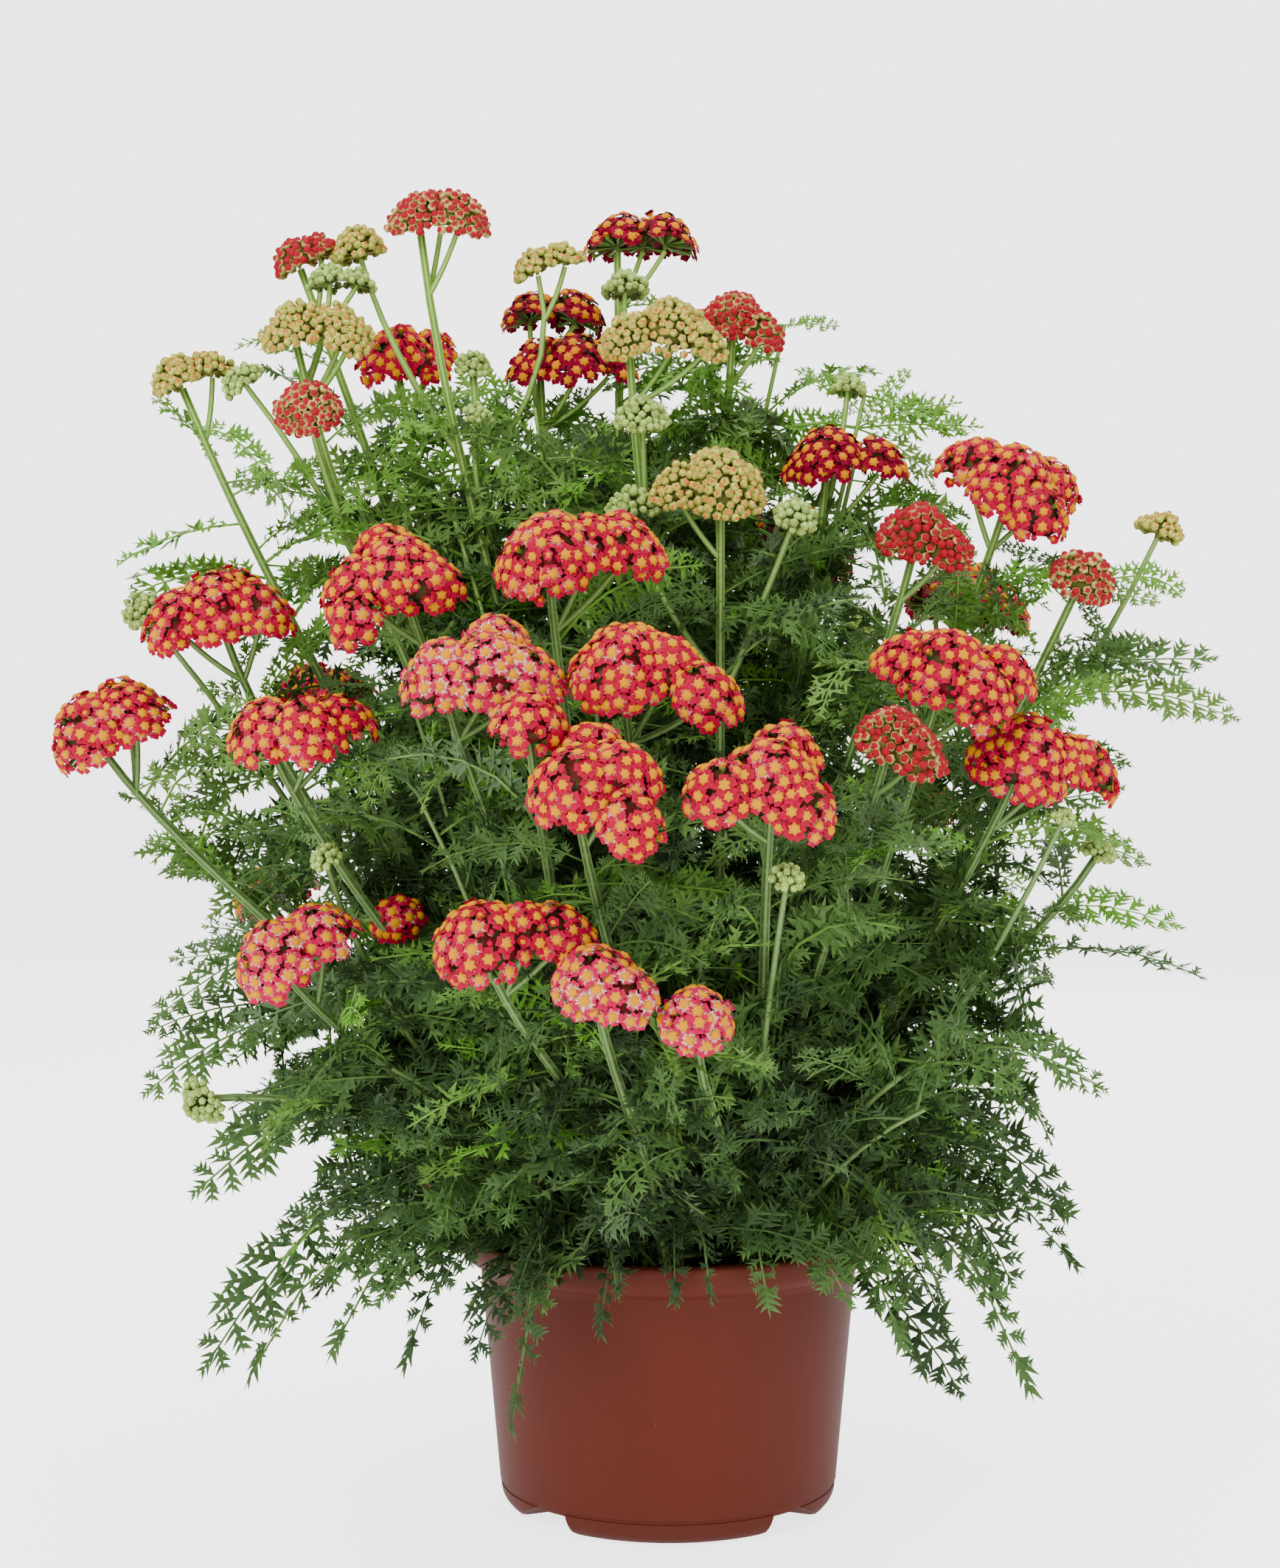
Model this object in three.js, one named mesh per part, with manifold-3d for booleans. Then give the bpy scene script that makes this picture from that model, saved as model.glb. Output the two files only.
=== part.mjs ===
// A yarrow in full growth, in its round plastic grower's pot.
// Millimetres, +Z up. The origin is the middle of the pot's underside, and -Y is the front.
import * as THREE from "three";
import { mergeVertices } from "three/addons/utils/BufferGeometryUtils.js";
import Module from "manifold-3d";

const wasm = await Module();
wasm.setup();

// ---- Driving dimensions ----

const fitGap = 0.35; // between touching pieces

const pot = {
  height: 127,
  rimRadius: 95,
  bandHeight: 13,
  bandStep: 7, // how far the band stands out from the wall
  baseRadius: 77.5,
  wall: 2,
  floorZ: 9, // underside of the floor, above the feet
  facets: 28,
  feet: [[270, 35, 37], [90, 35, 37], [0, 23, 40], [180, 23, 40]], // azimuth, half spans below and above
  footRadius: 70, // where a foot stands
  footDepth: 13,
  footSteps: 3,
  bossRadius: 14,
  bossFacets: 10,
  drains: 4,
  drainRadius: 4.5,
  drainFacets: 6,
};

const soil = { top: 113, facets: 18, holeDepth: 14, looseness: 0.6, edgeWidth: 8, edgeDrop: 3 };

// The rootstock stubs that stand in the soil, and the feet of the stems on them.
const crown = { radius: 9, topShare: 0.8, sides: 6, above: 3, footDistance: 5, footTurn: 130 };

const stemSize = {
  foot: 2.5, // radii
  tip: 1.6,
  branch: 1.1,
  sides: 3,
  steps: 4,
  leaving: 0.35, // how far a stem keeps its first and last directions, as shares of its length
  arriving: 0.3,
  sink: 1.5, // how deep a green head's stem runs into it
  forkDrop: 8, // below a head, plus its first dome's radius
  branchRise: 1.4, // a side branch rises at least this much for each unit of run,
  branchStart: 20, // and this much more
};

// Florets and buds as raised cells on a dome, with sunken corners between them.
const cell = {
  pitch: 11,
  pitchShare: 0.72, // of the first dome's radius, on a small head
  inset: 0.25, // how far inside the rim the outermost cells have their middles, in pitches
  centre: 1.7, // heights
  petal: 0,
  corner: -1.6,
};
// A dome's height and its depth below the rim are shares of its radius.
const dome = { height: 0.7, roundness: 2.2, droop: 0.009, under: 0.5 };

// Leaves: leaflet pairs, lengths low and high on a stem, and ranges for the first rise and the bend in degrees.
const leafSize = {
  pairs: 5,
  rib: 1.1,
  thickness: 1.6,
  width: 0.15, // half its width, as a share of its length
  lengths: [104, 62],
  variation: [0.9, 1.1],
  rise: [20, 45],
  bend: [10, 45],
  turns: [0, 24, -24, 48, -48, 76, -76, 110], // tried in this order
};
const tipLeaf = { rise: 12, bend: 40, length: 84, halfWidth: 13 };
const frond = { pairs: 7, halfWidth: 14, crest: 0.74, crestHeight: 62, turns: [0, 7, -7, 14, -14, 21, -21] };

// Where leaves grow on a stem, as shares of its length.
const foliage = { perStem: 2, lowest: 0.12, highest: 0.86, shootHighest: 0.9, step: 0.618 };

// How far a leaf keeps from other clumps, from its own, and from the pot. Its root may touch its own clump.
const room = { others: 5.5, own: 4.5, pot: 2.5, nearRoot: 22 };

// Crowns in the soil: azimuth in degrees and distance from the pot's axis.
const crowns = {
  front: [270, 56],
  frontRight: [310, 56],
  right: [350, 56],
  rightBack: [30, 56],
  backRight: [70, 56],
  back: [110, 56],
  backLeft: [150, 56],
  left: [190, 56],
  frontLeft: [230, 56],
  innerFrontLeft: [235, 25],
  innerFrontRight: [315, 25],
  innerBackRight: [45, 25],
  innerBackLeft: [140, 25],
};

// ---- The stems and their heads ----

// A head: stage, middle of its rim, the way it leans (azimuth, degrees) and its domes [right, back, radius].
function head(stage, at, lean, domes) {
  return { stage, at, lean, domes };
}

// A stem rises from a crown to its first head. Further heads stand on branches of it.
function stem(from, ...heads) {
  return { from, heads };
}

const stems = [
  // Tall stems at the back left
  stem("innerBackLeft", head("bud", [-105, 0, 592], [270, 14], [[-8, -2, 14], [9, -4, 14], [1, 9, 12]]),
    head("young", [-144, 25, 580], [180, 15], [[0, 0, 12]])),
  stem("backLeft", head("bud", [-170, 25, 576], [190, 25], [[-3, -2, 11], [7, 4, 10]])),
  stem("innerBackLeft", head("young", [-158, -20, 538], [270, 22], [[-10, 3, 15], [10, 2, 14], [14, -10, 9]]),
    head("green", [-150, 8, 563], [90, 10], [[-5, 0, 9], [7, 2, 8]]),
    head("green", [-193, -14, 515], [200, 40], [[0, 0, 9]]),
    head("bud", [-160, -42, 501], [265, 45], [[0, 0, 14]])),
  stem("left", head("young", [-219, 0, 520], [190, 20], [[-5, -2, 12], [9, 3, 10]])),
  stem("innerBackLeft", head("open", [-124, 48, 533], [270, 35], [[-4, 0, 16], [10, -7, 10], [13, 9, 10]]),
    head("young", [-56, 20, 573], [200, 18], [[-6, -1, 10], [7, 2, 9]])),
  stem("innerBackLeft", head("green", [-90, 15, 524], [290, 15], [[0, 0, 8]]),
    head("green", [-86, -6, 500], [300, 30], [[0, 0, 6]])),
  // Tall stems at the back middle
  stem("back", head("dark", [-12, 90, 594], [90, 8], [[-12, 0, 14], [11, -1, 14], [0, 7, 12]]),
    head("green", [-20, 62, 566], [80, 10], [[0, 0, 10]])),
  stem("innerBackLeft", head("dark", [-46, 42, 530], [270, 14], [[-14, 2, 14], [3, -4, 15], [18, 3, 12]]),
    head("dark", [-55, 76, 556], [100, 6], [[-11, 0, 12], [10, 0, 13]])),
  stem("innerBackRight", head("young", [-4, -14, 538], [268, 24], [[-14, -3, 13], [6, 2, 18], [20, -7, 10]]),
    head("green", [-12, -28, 498], [265, 22], [[0, 0, 11]])),
  stem("innerBackRight", head("bud", [31, 32, 548], [280, 28], [[0, 2, 15], [13, -8, 10]])),
  // Middle and right, upper half
  stem("innerFrontRight", head("young", [18, -62, 468], [268, 30], [[4, -3, 18], [-15, -2, 11], [2, 14, 12]]),
    head("green", [-16, -40, 458], [250, 15], [[0, 0, 10]]),
    head("green", [55, -66, 452], [300, 35], [[0, 0, 9]])),
  stem("innerBackRight", head("dark", [80, 0, 482], [270, 12], [[-8, 0, 17], [16, 2, 12]]),
    head("green", [84, 32, 516], [60, 10], [[0, 0, 8]])),
  stem("rightBack", head("open", [156, -20, 470], [285, 45],
    [[0, 0, 19], [-18, 14, 14], [19, 8, 12], [11, -14, 13]])),
  stem("innerFrontRight", head("bud", [110, -66, 444], [280, 35], [[-2, 2, 16], [10, -6, 11]])),
  stem("right", head("bud", [186, -30, 427], [300, 40], [[0, 0, 14]]),
    head("young", [225, -4, 449], [0, 25], [[0, 0, 10]])),
  // Left side, upper half
  stem("left", head("open", [-200, -46, 414], [265, 32], [[0, 0, 18], [-18, -5, 14], [18, 0, 14], [4, 18, 13]]),
    head("green", [-238, -18, 411], [200, 40], [[0, 0, 9]])),
  stem("innerFrontLeft", head("open", [-120, -92, 428], [262, 45],
    [[4, 0, 18], [-14, -6, 14], [-3, 19, 12], [17, -6, 12], [-16, -20, 10]])),
  stem("innerFrontLeft", head("open", [-42, -108, 438], [268, 40], [[-10, -2, 20], [8, 3, 13], [23, 7, 15]])),
  // Front, middle height
  stem("innerFrontLeft", head("open", [-80, -146, 388], [262, 42],
    [[-15, 0, 16], [5, -2, 17], [21, -4, 13], [8, 20, 12]])),
  stem("innerFrontRight", head("open", [-12, -152, 388], [270, 42], [[-8, 2, 20], [10, 2, 14], [26, -9, 13]])),
  stem("frontLeft", head("open", [-58, -176, 366], [265, 40], [[0, 0, 13]])),
  stem("front", head("open", [-32, -190, 344], [268, 46],
    [[-7, -2, 17], [11, 3, 15], [-1, 20, 12], [15, -19, 11]])),
  stem("frontRight", head("open", [34, -188, 346], [275, 46],
    [[6, -1, 17], [-15, -8, 12], [12, 18, 12], [18, -12, 12]])),
  // Right side
  stem("right", head("open", [118, -108, 387], [280, 42],
    [[-2, 0, 19], [-18, 8, 12], [13, -11, 14], [27, 10, 12]])),
  stem("frontRight", head("bud", [94, -142, 357], [285, 40], [[-3, 3, 14], [7, -5, 12]]),
    head("green", [46, -176, 303], [280, 35], [[0, 0, 6]])),
  stem("right", head("open", [152, -88, 350], [285, 40], [[0, 0, 21], [17, 4, 13], [32, 11, 14]]),
    head("green", [168, -96, 322], [310, 30], [[0, 0, 5]])),
  stem("rightBack", head("green", [190, -52, 305], [320, 25], [[0, 0, 7]])),
  // Left side
  stem("left", head("open", [-250, -46, 364], [240, 38], [[-8, -3, 18], [11, 0, 15], [6, 14, 12]])),
  stem("frontLeft", head("open", [-162, -108, 363], [255, 34], [[-10, 0, 15], [9, -4, 15], [22, 6, 12]]),
    head("green", [-146, -112, 306], [260, 40], [[0, 0, 6]])),
  // Front, low
  stem("frontLeft", head("open", [-160, -120, 270], [245, 40], [[-7, -2, 17], [12, 7, 14]])),
  stem("innerFrontLeft", head("open", [-120, -66, 277], [255, 40], [[0, 0, 10]])),
  stem("front", head("open", [-74, -188, 280], [262, 42], [[-2, 0, 18], [16, 6, 12], [29, 8, 13]])),
  stem("front", head("open", [-28, -200, 264], [268, 46], [[-3, 2, 15], [8, -5, 12]])),
  stem("frontRight", head("open", [9, -198, 250], [272, 44], [[0, 0, 13]])),
  stem("frontLeft", head("green", [-204, -74, 196], [215, 120], [[0, 0, 10]])),
  // Back
  stem("rightBack", head("open", [150, 92, 420], [40, 30], [[-2, 0, 19], [16, -8, 13], [-14, 13, 13]])),
  stem("backRight", head("open", [66, 146, 452], [75, 34], [[0, 0, 20], [-20, 4, 14], [17, 10, 12]]),
    head("green", [96, 138, 402], [50, 30], [[0, 0, 9]])),
  stem("backRight", head("open", [118, 160, 322], [60, 38], [[0, 0, 18], [18, -6, 13]])),
  stem("back", head("bud", [6, 176, 392], [90, 34], [[-4, 0, 15], [11, 5, 12]]),
    head("green", [30, 150, 430], [80, 20], [[0, 0, 8]])),
  stem("back", head("open", [-16, 196, 300], [95, 42], [[-3, 2, 17], [14, -6, 13]])),
  stem("backLeft", head("open", [-110, 142, 440], [120, 32], [[0, 0, 19], [-17, -8, 13], [12, 14, 12]]),
    head("green", [-70, 152, 404], [105, 30], [[0, 0, 11]])),
  stem("backLeft", head("open", [-176, 96, 372], [145, 36], [[0, 0, 18], [14, 12, 13]])),
  stem("left", head("open", [-196, 70, 276], [150, 40], [[0, 0, 15], [12, 8, 11]])),
];

// Leafy shoots with no head: crown and the tip's place.
const shoots = [
  ["right", [160, -36, 258]],
  ["right", [178, -14, 372]],
  ["rightBack", [156, 44, 300]],
  ["frontRight", [118, -112, 226]],
  ["backRight", [82, 112, 246]],
  ["back", [-60, 120, 330]],
  ["backLeft", [-118, 86, 268]],
  ["left", [-158, -14, 230]],
  ["left", [-156, 4, 300]],
  ["frontLeft", [-120, -92, 214]],
];

// Fronds that arch from a crown over the rim: crown, azimuth, reach, lowest height of the tip.
const fronds = [
  ["frontLeft", 206, 206, 72],
  ["frontLeft", 222, 150, 62],
  ["front", 247, 128, 96],
  ["front", 262, 122, 108],
  ["frontRight", 284, 124, 104],
  ["frontRight", 312, 150, 92],
  ["right", 336, 176, 62],
  ["right", 354, 190, 108],
  ["rightBack", 18, 170, 84],
  ["backRight", 52, 156, 76],
  ["backRight", 84, 150, 100],
  ["back", 112, 164, 70],
  ["backLeft", 140, 158, 96],
  ["left", 168, 172, 82],
  ["left", 190, 182, 118],
];

// ---- Small helpers ----

const vec = (x, y, z) => new THREE.Vector3(x, y, z);
const up = vec(0, 0, 1);
const rad = THREE.MathUtils.degToRad;
const lerp = THREE.MathUtils.lerp;

function onCompass(azimuth, distance, z) {
  return vec(distance * Math.cos(rad(azimuth)), distance * Math.sin(rad(azimuth)), z);
}

let state = 20240;
// The next number of a fixed sequence, from 0 to 1.
function draw() {
  state = (state * 1664525 + 1013904223) % 4294967296;
  return state / 4294967296;
}

function shape(positions, faces) {
  const geometry = new THREE.BufferGeometry();
  geometry.setAttribute("position", new THREE.Float32BufferAttribute(positions.flatMap((p) => p.toArray()), 3));
  geometry.setIndex(faces.flat());
  return geometry;
}

function toSolid(geometry) {
  const bare = geometry.clone();
  bare.deleteAttribute("normal");
  bare.deleteAttribute("uv");
  const merged = mergeVertices(bare);
  return new wasm.Manifold(new wasm.Mesh({
    numProp: 3,
    vertProperties: new Float32Array(merged.attributes.position.array),
    triVerts: new Uint32Array(merged.index.array),
  }));
}

function toGeometry(solid) {
  const mesh = solid.getMesh();
  const geometry = new THREE.BufferGeometry();
  geometry.setAttribute("position", new THREE.BufferAttribute(mesh.vertProperties, 3));
  geometry.setIndex(new THREE.BufferAttribute(mesh.triVerts, 1));
  return geometry;
}

function fuse(solids) {
  return solids.reduce((all, one) => all.add(one));
}

// The largest body of a solid, without loose scraps.
function mainBody(solid) {
  return solid.decompose().reduce((best, one) => (one.volume() > best.volume() ? one : best));
}

// A straight-sided tube through points, with a radius at each and its end cut across endAxis.
function tube(points, radii, sides, endAxis) {
  const rings = [];
  let side = vec(1, 0, 0);
  points.forEach((p, i) => {
    const isEnd = i === points.length - 1;
    let along = points[isEnd ? i : i + 1].clone().sub(points[Math.max(i - 1, 0)]).normalize();
    if (isEnd && endAxis) along = endAxis;
    side = side.clone().addScaledVector(along, -side.dot(along)).normalize();
    const other = along.clone().cross(side);
    for (let k = 0; k < sides; k++) {
      const turn = (2 * Math.PI * k) / sides;
      const [a, b] = [radii[i] * Math.cos(turn), radii[i] * Math.sin(turn)];
      rings.push(p.clone().addScaledVector(side, a).addScaledVector(other, b));
    }
  });
  const faces = [];
  for (let i = 0; i + 1 < points.length; i++) {
    for (let k = 0; k < sides; k++) {
      const [a, b] = [i * sides + k, i * sides + ((k + 1) % sides)];
      faces.push([a, b, b + sides], [a, b + sides, a + sides]);
    }
  }
  const last = (points.length - 1) * sides;
  for (let k = 1; k + 1 < sides; k++) faces.push([0, k + 1, k], [last, last + k, last + k + 1]);
  return shape(rings, faces);
}

// ---- Pot and soil ----

function innerRadius(z) {
  const { height, rimRadius, bandStep, baseRadius, floorZ, wall } = pot;
  return lerp(baseRadius, rimRadius - bandStep, (z - floorZ) / (height - floorZ)) - wall;
}

function makePot() {
  const { height, rimRadius, bandHeight, baseRadius, wall, floorZ, bossRadius, drains, drainRadius } = pot;
  const bandFoot = height - bandHeight;
  const inFloor = floorZ + wall / 2;
  const profile = [
    [0, floorZ],
    [baseRadius - 1.5, floorZ],
    [baseRadius, floorZ + 3],
    [innerRadius(bandFoot) + wall, bandFoot],
    [rimRadius - 1, bandFoot],
    [rimRadius, height],
    [innerRadius(height), height],
    [innerRadius(floorZ + wall), floorZ + wall],
    [0, floorZ + wall],
  ].map(([r, z]) => new THREE.Vector2(r, z));
  const shell = new THREE.LatheGeometry(profile, pot.facets).rotateX(Math.PI / 2);
  let body = toSolid(shell);
  for (const foot of pot.feet) body = body.add(makeFoot(foot));
  const boss = new THREE.CylinderGeometry(bossRadius, bossRadius - 1, inFloor, pot.bossFacets);
  body = body.add(toSolid(boss.rotateX(Math.PI / 2).translate(0, 0, inFloor / 2)));
  const drain = new THREE.CylinderGeometry(drainRadius, drainRadius, 8 * wall, pot.drainFacets);
  for (let i = 0; i < drains; i++) {
    const { x, y } = onCompass((360 * (i + 0.5)) / drains, baseRadius - 2.6 * drainRadius, 0);
    body = body.subtract(toSolid(drain.clone().rotateX(Math.PI / 2).translate(x, y, floorZ)));
  }
  return toGeometry(body);
}

// A foot is a sector of a ring that leans inwards and is narrower where it stands.
function makeFoot([azimuth, below, above]) {
  const { baseRadius, footRadius, footDepth, footSteps: steps, floorZ, wall } = pot;
  const corners = [];
  for (let i = 0; i <= steps; i++) {
    for (const [z, half, outer] of [[0, below, footRadius], [floorZ + wall / 2, above, baseRadius - 1]]) {
      const turn = azimuth + half * ((2 * i) / steps - 1);
      corners.push(onCompass(turn, outer - footDepth, z), onCompass(turn, outer, z));
    }
  }
  const ring = [0, 1, 3, 2]; // inner foot, outer foot, outer top, inner top
  const faces = [];
  for (let i = 0; i < steps; i++) {
    ring.forEach((a, k) => {
      const b = ring[(k + 1) % 4];
      faces.push([4 * i + a, 4 * i + 4 + a, 4 * i + 4 + b], [4 * i + a, 4 * i + 4 + b, 4 * i + b]);
    });
  }
  const end = 4 * steps;
  faces.push([0, 1, 3], [0, 3, 2], [end, end + 3, end + 1], [end, end + 2, end + 3]);
  return outwards(shape(corners, faces));
}

// A solid from faces that may all be wound the other way round.
function outwards(geometry) {
  const solid = toSolid(geometry);
  if (solid.volume() > 0) return solid;
  const index = geometry.index.array;
  for (let i = 0; i < index.length; i += 3) [index[i], index[i + 1]] = [index[i + 1], index[i]];
  return toSolid(geometry);
}

function makeSoil() {
  const low = pot.floorZ + pot.wall + fitGap;
  const inside = fitGap + soil.looseness;
  const profile = [
    [0, low],
    [innerRadius(low) - inside, low],
    [innerRadius(soil.top) - inside, soil.top - soil.edgeDrop],
    [innerRadius(soil.top) - soil.edgeWidth, soil.top],
    [0, soil.top],
  ].map(([r, z]) => new THREE.Vector2(r, z));
  let body = toSolid(new THREE.LatheGeometry(profile, soil.facets).rotateX(Math.PI / 2));
  for (const name of Object.keys(crowns)) body = body.subtract(makeCrown(name, fitGap));
  return toGeometry(body);
}

function crownPlace(name) {
  const [azimuth, distance] = crowns[name];
  return onCompass(azimuth, distance, soil.top);
}

// The rootstock stub that a clump's stems rise from, or with a gap added, the hole that it stands in.
function makeCrown(name, gap) {
  const { radius, topShare, sides, above } = crown;
  const bottom = soil.top - soil.holeDepth + (gap ? 0 : fitGap);
  const top = soil.top + above;
  const wide = radius + gap;
  const stub = new THREE.CylinderGeometry(gap ? wide : topShare * radius, wide, top - bottom, sides);
  const { x, y } = crownPlace(name);
  return toSolid(stub.rotateX(Math.PI / 2).translate(x, y, (top + bottom) / 2));
}

// ---- Heads ----

// Where a head stands: its middle, the turn from its own frame and its axis.
function headFrame({ at, lean: [azimuth, tilt] }) {
  const axis = onCompass(azimuth, Math.sin(rad(tilt)), Math.cos(rad(tilt)));
  return { origin: vec(...at), turn: new THREE.Quaternion().setFromUnitVectors(up, axis), axis };
}

// The top of a head over a point of its own plane: the highest of its domes, drooping outwards.
function headHeight(domes, x, y) {
  const heights = domes.map(([right, back, radius]) => {
    const out = Math.min(1, Math.hypot(x - right, y - back) / radius);
    return dome.height * radius * (1 - out ** dome.roundness);
  });
  return Math.max(...heights) - dome.droop * (x * x + y * y);
}

// A point of the plane, pulled in to the rim of the nearest dome if it lies outside them all.
function insideRim(domes, x, y) {
  let best = null;
  for (const [right, back, radius] of domes) {
    const out = Math.hypot(x - right, y - back);
    if (out <= radius) return [x, y];
    if (!best || out - radius < best.past) best = { past: out - radius, right, back, scale: radius / out };
  }
  return [best.right + (x - best.right) * best.scale, best.back + (y - best.back) * best.scale];
}

// The lowest point under a dome.
function seatPoint([right, back, radius]) {
  return vec(right, back, -radius * dome.under - dome.droop * (right * right + back * back));
}

// One honeycomb patch of raised cells over all the domes. Its rim is closed to a seat under each dome.
// Open florets have every other corner half sunken, which leaves three petals.
function headMesh({ stage, domes }) {
  const isOpen = stage === "open" || stage === "dark";
  const pitch = Math.min(cell.pitch, cell.pitchShare * domes[0][2]);
  const relief = pitch / cell.pitch;
  const points = domes.map(seatPoint);
  const known = new Map();
  const vertexAt = (x, y, lift) => {
    const key = `${Math.round(x * 10)},${Math.round(y * 10)}`;
    if (!known.has(key)) {
      const [a, b] = insideRim(domes, x, y);
      known.set(key, points.push(vec(a, b, headHeight(domes, a, b) + lift * relief)) - 1);
    }
    return known.get(key);
  };
  const size = pitch / Math.sqrt(3);
  const cells = [];
  const reach = 8; // cells each way
  for (let i = -reach; i <= reach; i++) {
    for (let j = -reach; j <= reach; j++) {
      const x = pitch * (i + j / 2 - 0.5); // a corner of the honeycomb lies over the stem
      const y = (pitch * (3 * j - 1)) / Math.sqrt(12);
      const isUnder = ([right, back, radius]) => Math.hypot(x - right, y - back) <= radius - cell.inset * pitch;
      if (domes.some(isUnder)) cells.push([x, y]);
    }
  }
  const edges = new Set();
  const rings = cells.map(([x, y]) => {
    const ring = [];
    for (let k = 0; k < 6; k++) {
      const a = (Math.PI * (2 * k + 1)) / 6;
      const lift = isOpen && k % 2 ? cell.petal : cell.corner;
      ring.push(vertexAt(x + size * Math.cos(a), y + size * Math.sin(a), lift));
    }
    ring.forEach((from, k) => edges.add(`${from}>${ring[(k + 1) % 6]}`));
    return ring;
  });
  const nearest = (i) => {
    const { x, y } = points[i];
    const past = domes.map(([right, back, radius]) => Math.hypot(x - right, y - back) - radius);
    return past.indexOf(Math.min(...past));
  };
  const turnOf = (a, b, c) => { // above 0 where the corners turn left, seen from above
    const [p, q] = [points[b].clone().sub(points[a]), points[c].clone().sub(points[a])];
    return p.x * q.y - p.y * q.x;
  };
  const faces = [];
  const steps = new Map(); // from seat to seat, round the middle of the underside
  rings.forEach((ring, i) => {
    const middle = vertexAt(...cells[i], cell.centre);
    ring.forEach((from, k) => {
      const to = ring[(k + 1) % 6];
      faces.push([middle, from, to]);
      if (edges.has(`${to}>${from}`)) return;
      const [here, next] = [nearest(from), nearest(to)];
      const isSplitHere = Math.max(turnOf(to, from, here), turnOf(to, here, next)) <= 0;
      if (here === next || isSplitHere) faces.push([to, from, here]);
      if (here === next) return;
      if (isSplitHere) faces.push([to, here, next]);
      else faces.push([to, from, next], [from, here, next]);
      if (steps.get(next) === here) steps.delete(next);
      else steps.set(here, next);
    });
  });
  const loop = [];
  let [seat] = steps.keys();
  while (seat !== undefined && seat !== loop[0]) {
    loop.push(seat);
    seat = steps.get(seat);
  }
  for (let k = 1; k + 1 < loop.length; k++) faces.push([loop[0], loop[k + 1], loop[k]]);
  return { points, faces };
}

function makeHead(plan) {
  const { points, faces } = headMesh(plan);
  return toSolid(shape(points, faces));
}

// Where the stem and its branches meet the seats, in world terms. A green head grows from them,
// and a coloured one rests a gap above them.
function seatsOf(plan) {
  const { origin, turn, axis } = headFrame(plan);
  const lift = vec(0, 0, plan.stage === "green" ? stemSize.sink : -fitGap);
  return plan.domes.map((one) => ({ p: seatPoint(one).add(lift).applyQuaternion(turn).add(origin), axis }));
}

// ---- Stems ----

function bezier(points, count) {
  const Curve = points.length === 3 ? THREE.QuadraticBezierCurve3 : THREE.CubicBezierCurve3;
  return new Curve(...points).getPoints(count);
}

// A stem's curve, from its foot on the crown to the seat of its head's first dome.
function stemCurve(foot, plan) {
  const [{ p: end, axis }] = seatsOf(plan);
  const length = foot.distanceTo(end);
  const straight = end.clone().sub(foot).normalize();
  const leaving = foot.clone().addScaledVector(straight.clone().add(up).normalize(), stemSize.leaving * length);
  const arriving = end.clone().addScaledVector(straight.add(axis).normalize(), -stemSize.arriving * length);
  return [foot, leaving, arriving, end];
}

// A side head's branch leaves the stem low enough to rise steeply.
function sideCurve(main, plan) {
  const [{ p: end, axis }] = seatsOf(plan);
  const { branchRise, branchStart } = stemSize;
  const rises = (p) => end.z - p.z > branchRise * Math.hypot(end.x - p.x, end.y - p.y) + branchStart;
  const start = main.filter(rises).pop() ?? main[2];
  return [start, end.clone().addScaledVector(axis, -0.4 * start.distanceTo(end)), end];
}

function tapered(points, foot, tip, sides, endAxis) {
  return toSolid(tube(points, points.map((p, i) => lerp(foot, tip, i / (points.length - 1))), sides, endAxis));
}

// ---- Leaves ----

// A leaf's rib from its root: azimuth, first rise and how far it bends down by its tip, in degrees.
function ribOf(root, azimuth, rise, bend, length, pairs) {
  const points = [root.clone()];
  for (let i = 0; i < pairs; i++) {
    const slope = rad(rise - (bend * (i + 0.5)) / pairs);
    const step = length / (pairs + 0.5);
    points.push(points[i].clone().add(onCompass(azimuth, step * Math.cos(slope), step * Math.sin(slope))));
  }
  return points;
}

function leafWidth(t, halfWidth) {
  return halfWidth * Math.sin(Math.PI * (0.12 + 0.8 * t)) ** 0.8;
}

// The rib's stations and the leaflets' tips, which point forwards and droop a little.
function leafFrame(rib, halfWidth) {
  const pairs = rib.length - 1;
  const stations = rib.map((p, i) => {
    const along = rib[Math.min(i + 1, pairs)].clone().sub(rib[Math.max(i - 1, 0)]).normalize();
    const side = along.clone().cross(up).normalize();
    return { p, along, side, normal: side.clone().cross(along) };
  });
  const tips = stations.slice(0, pairs).map(({ p, along, side, normal }, i) => {
    const wide = leafWidth((i + 0.5) / pairs, halfWidth);
    const middle = p.clone().add(rib[i + 1]).multiplyScalar(0.5).addScaledVector(along, 0.35 * wide);
    middle.addScaledVector(normal, -0.12 * wide);
    return [middle.clone().addScaledVector(side, -wide), middle.clone().addScaledVector(side, wide)];
  });
  const end = rib[pairs].clone().addScaledVector(stations[pairs].along, 0.5 * halfWidth);
  return { stations, tips, end };
}

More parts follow.
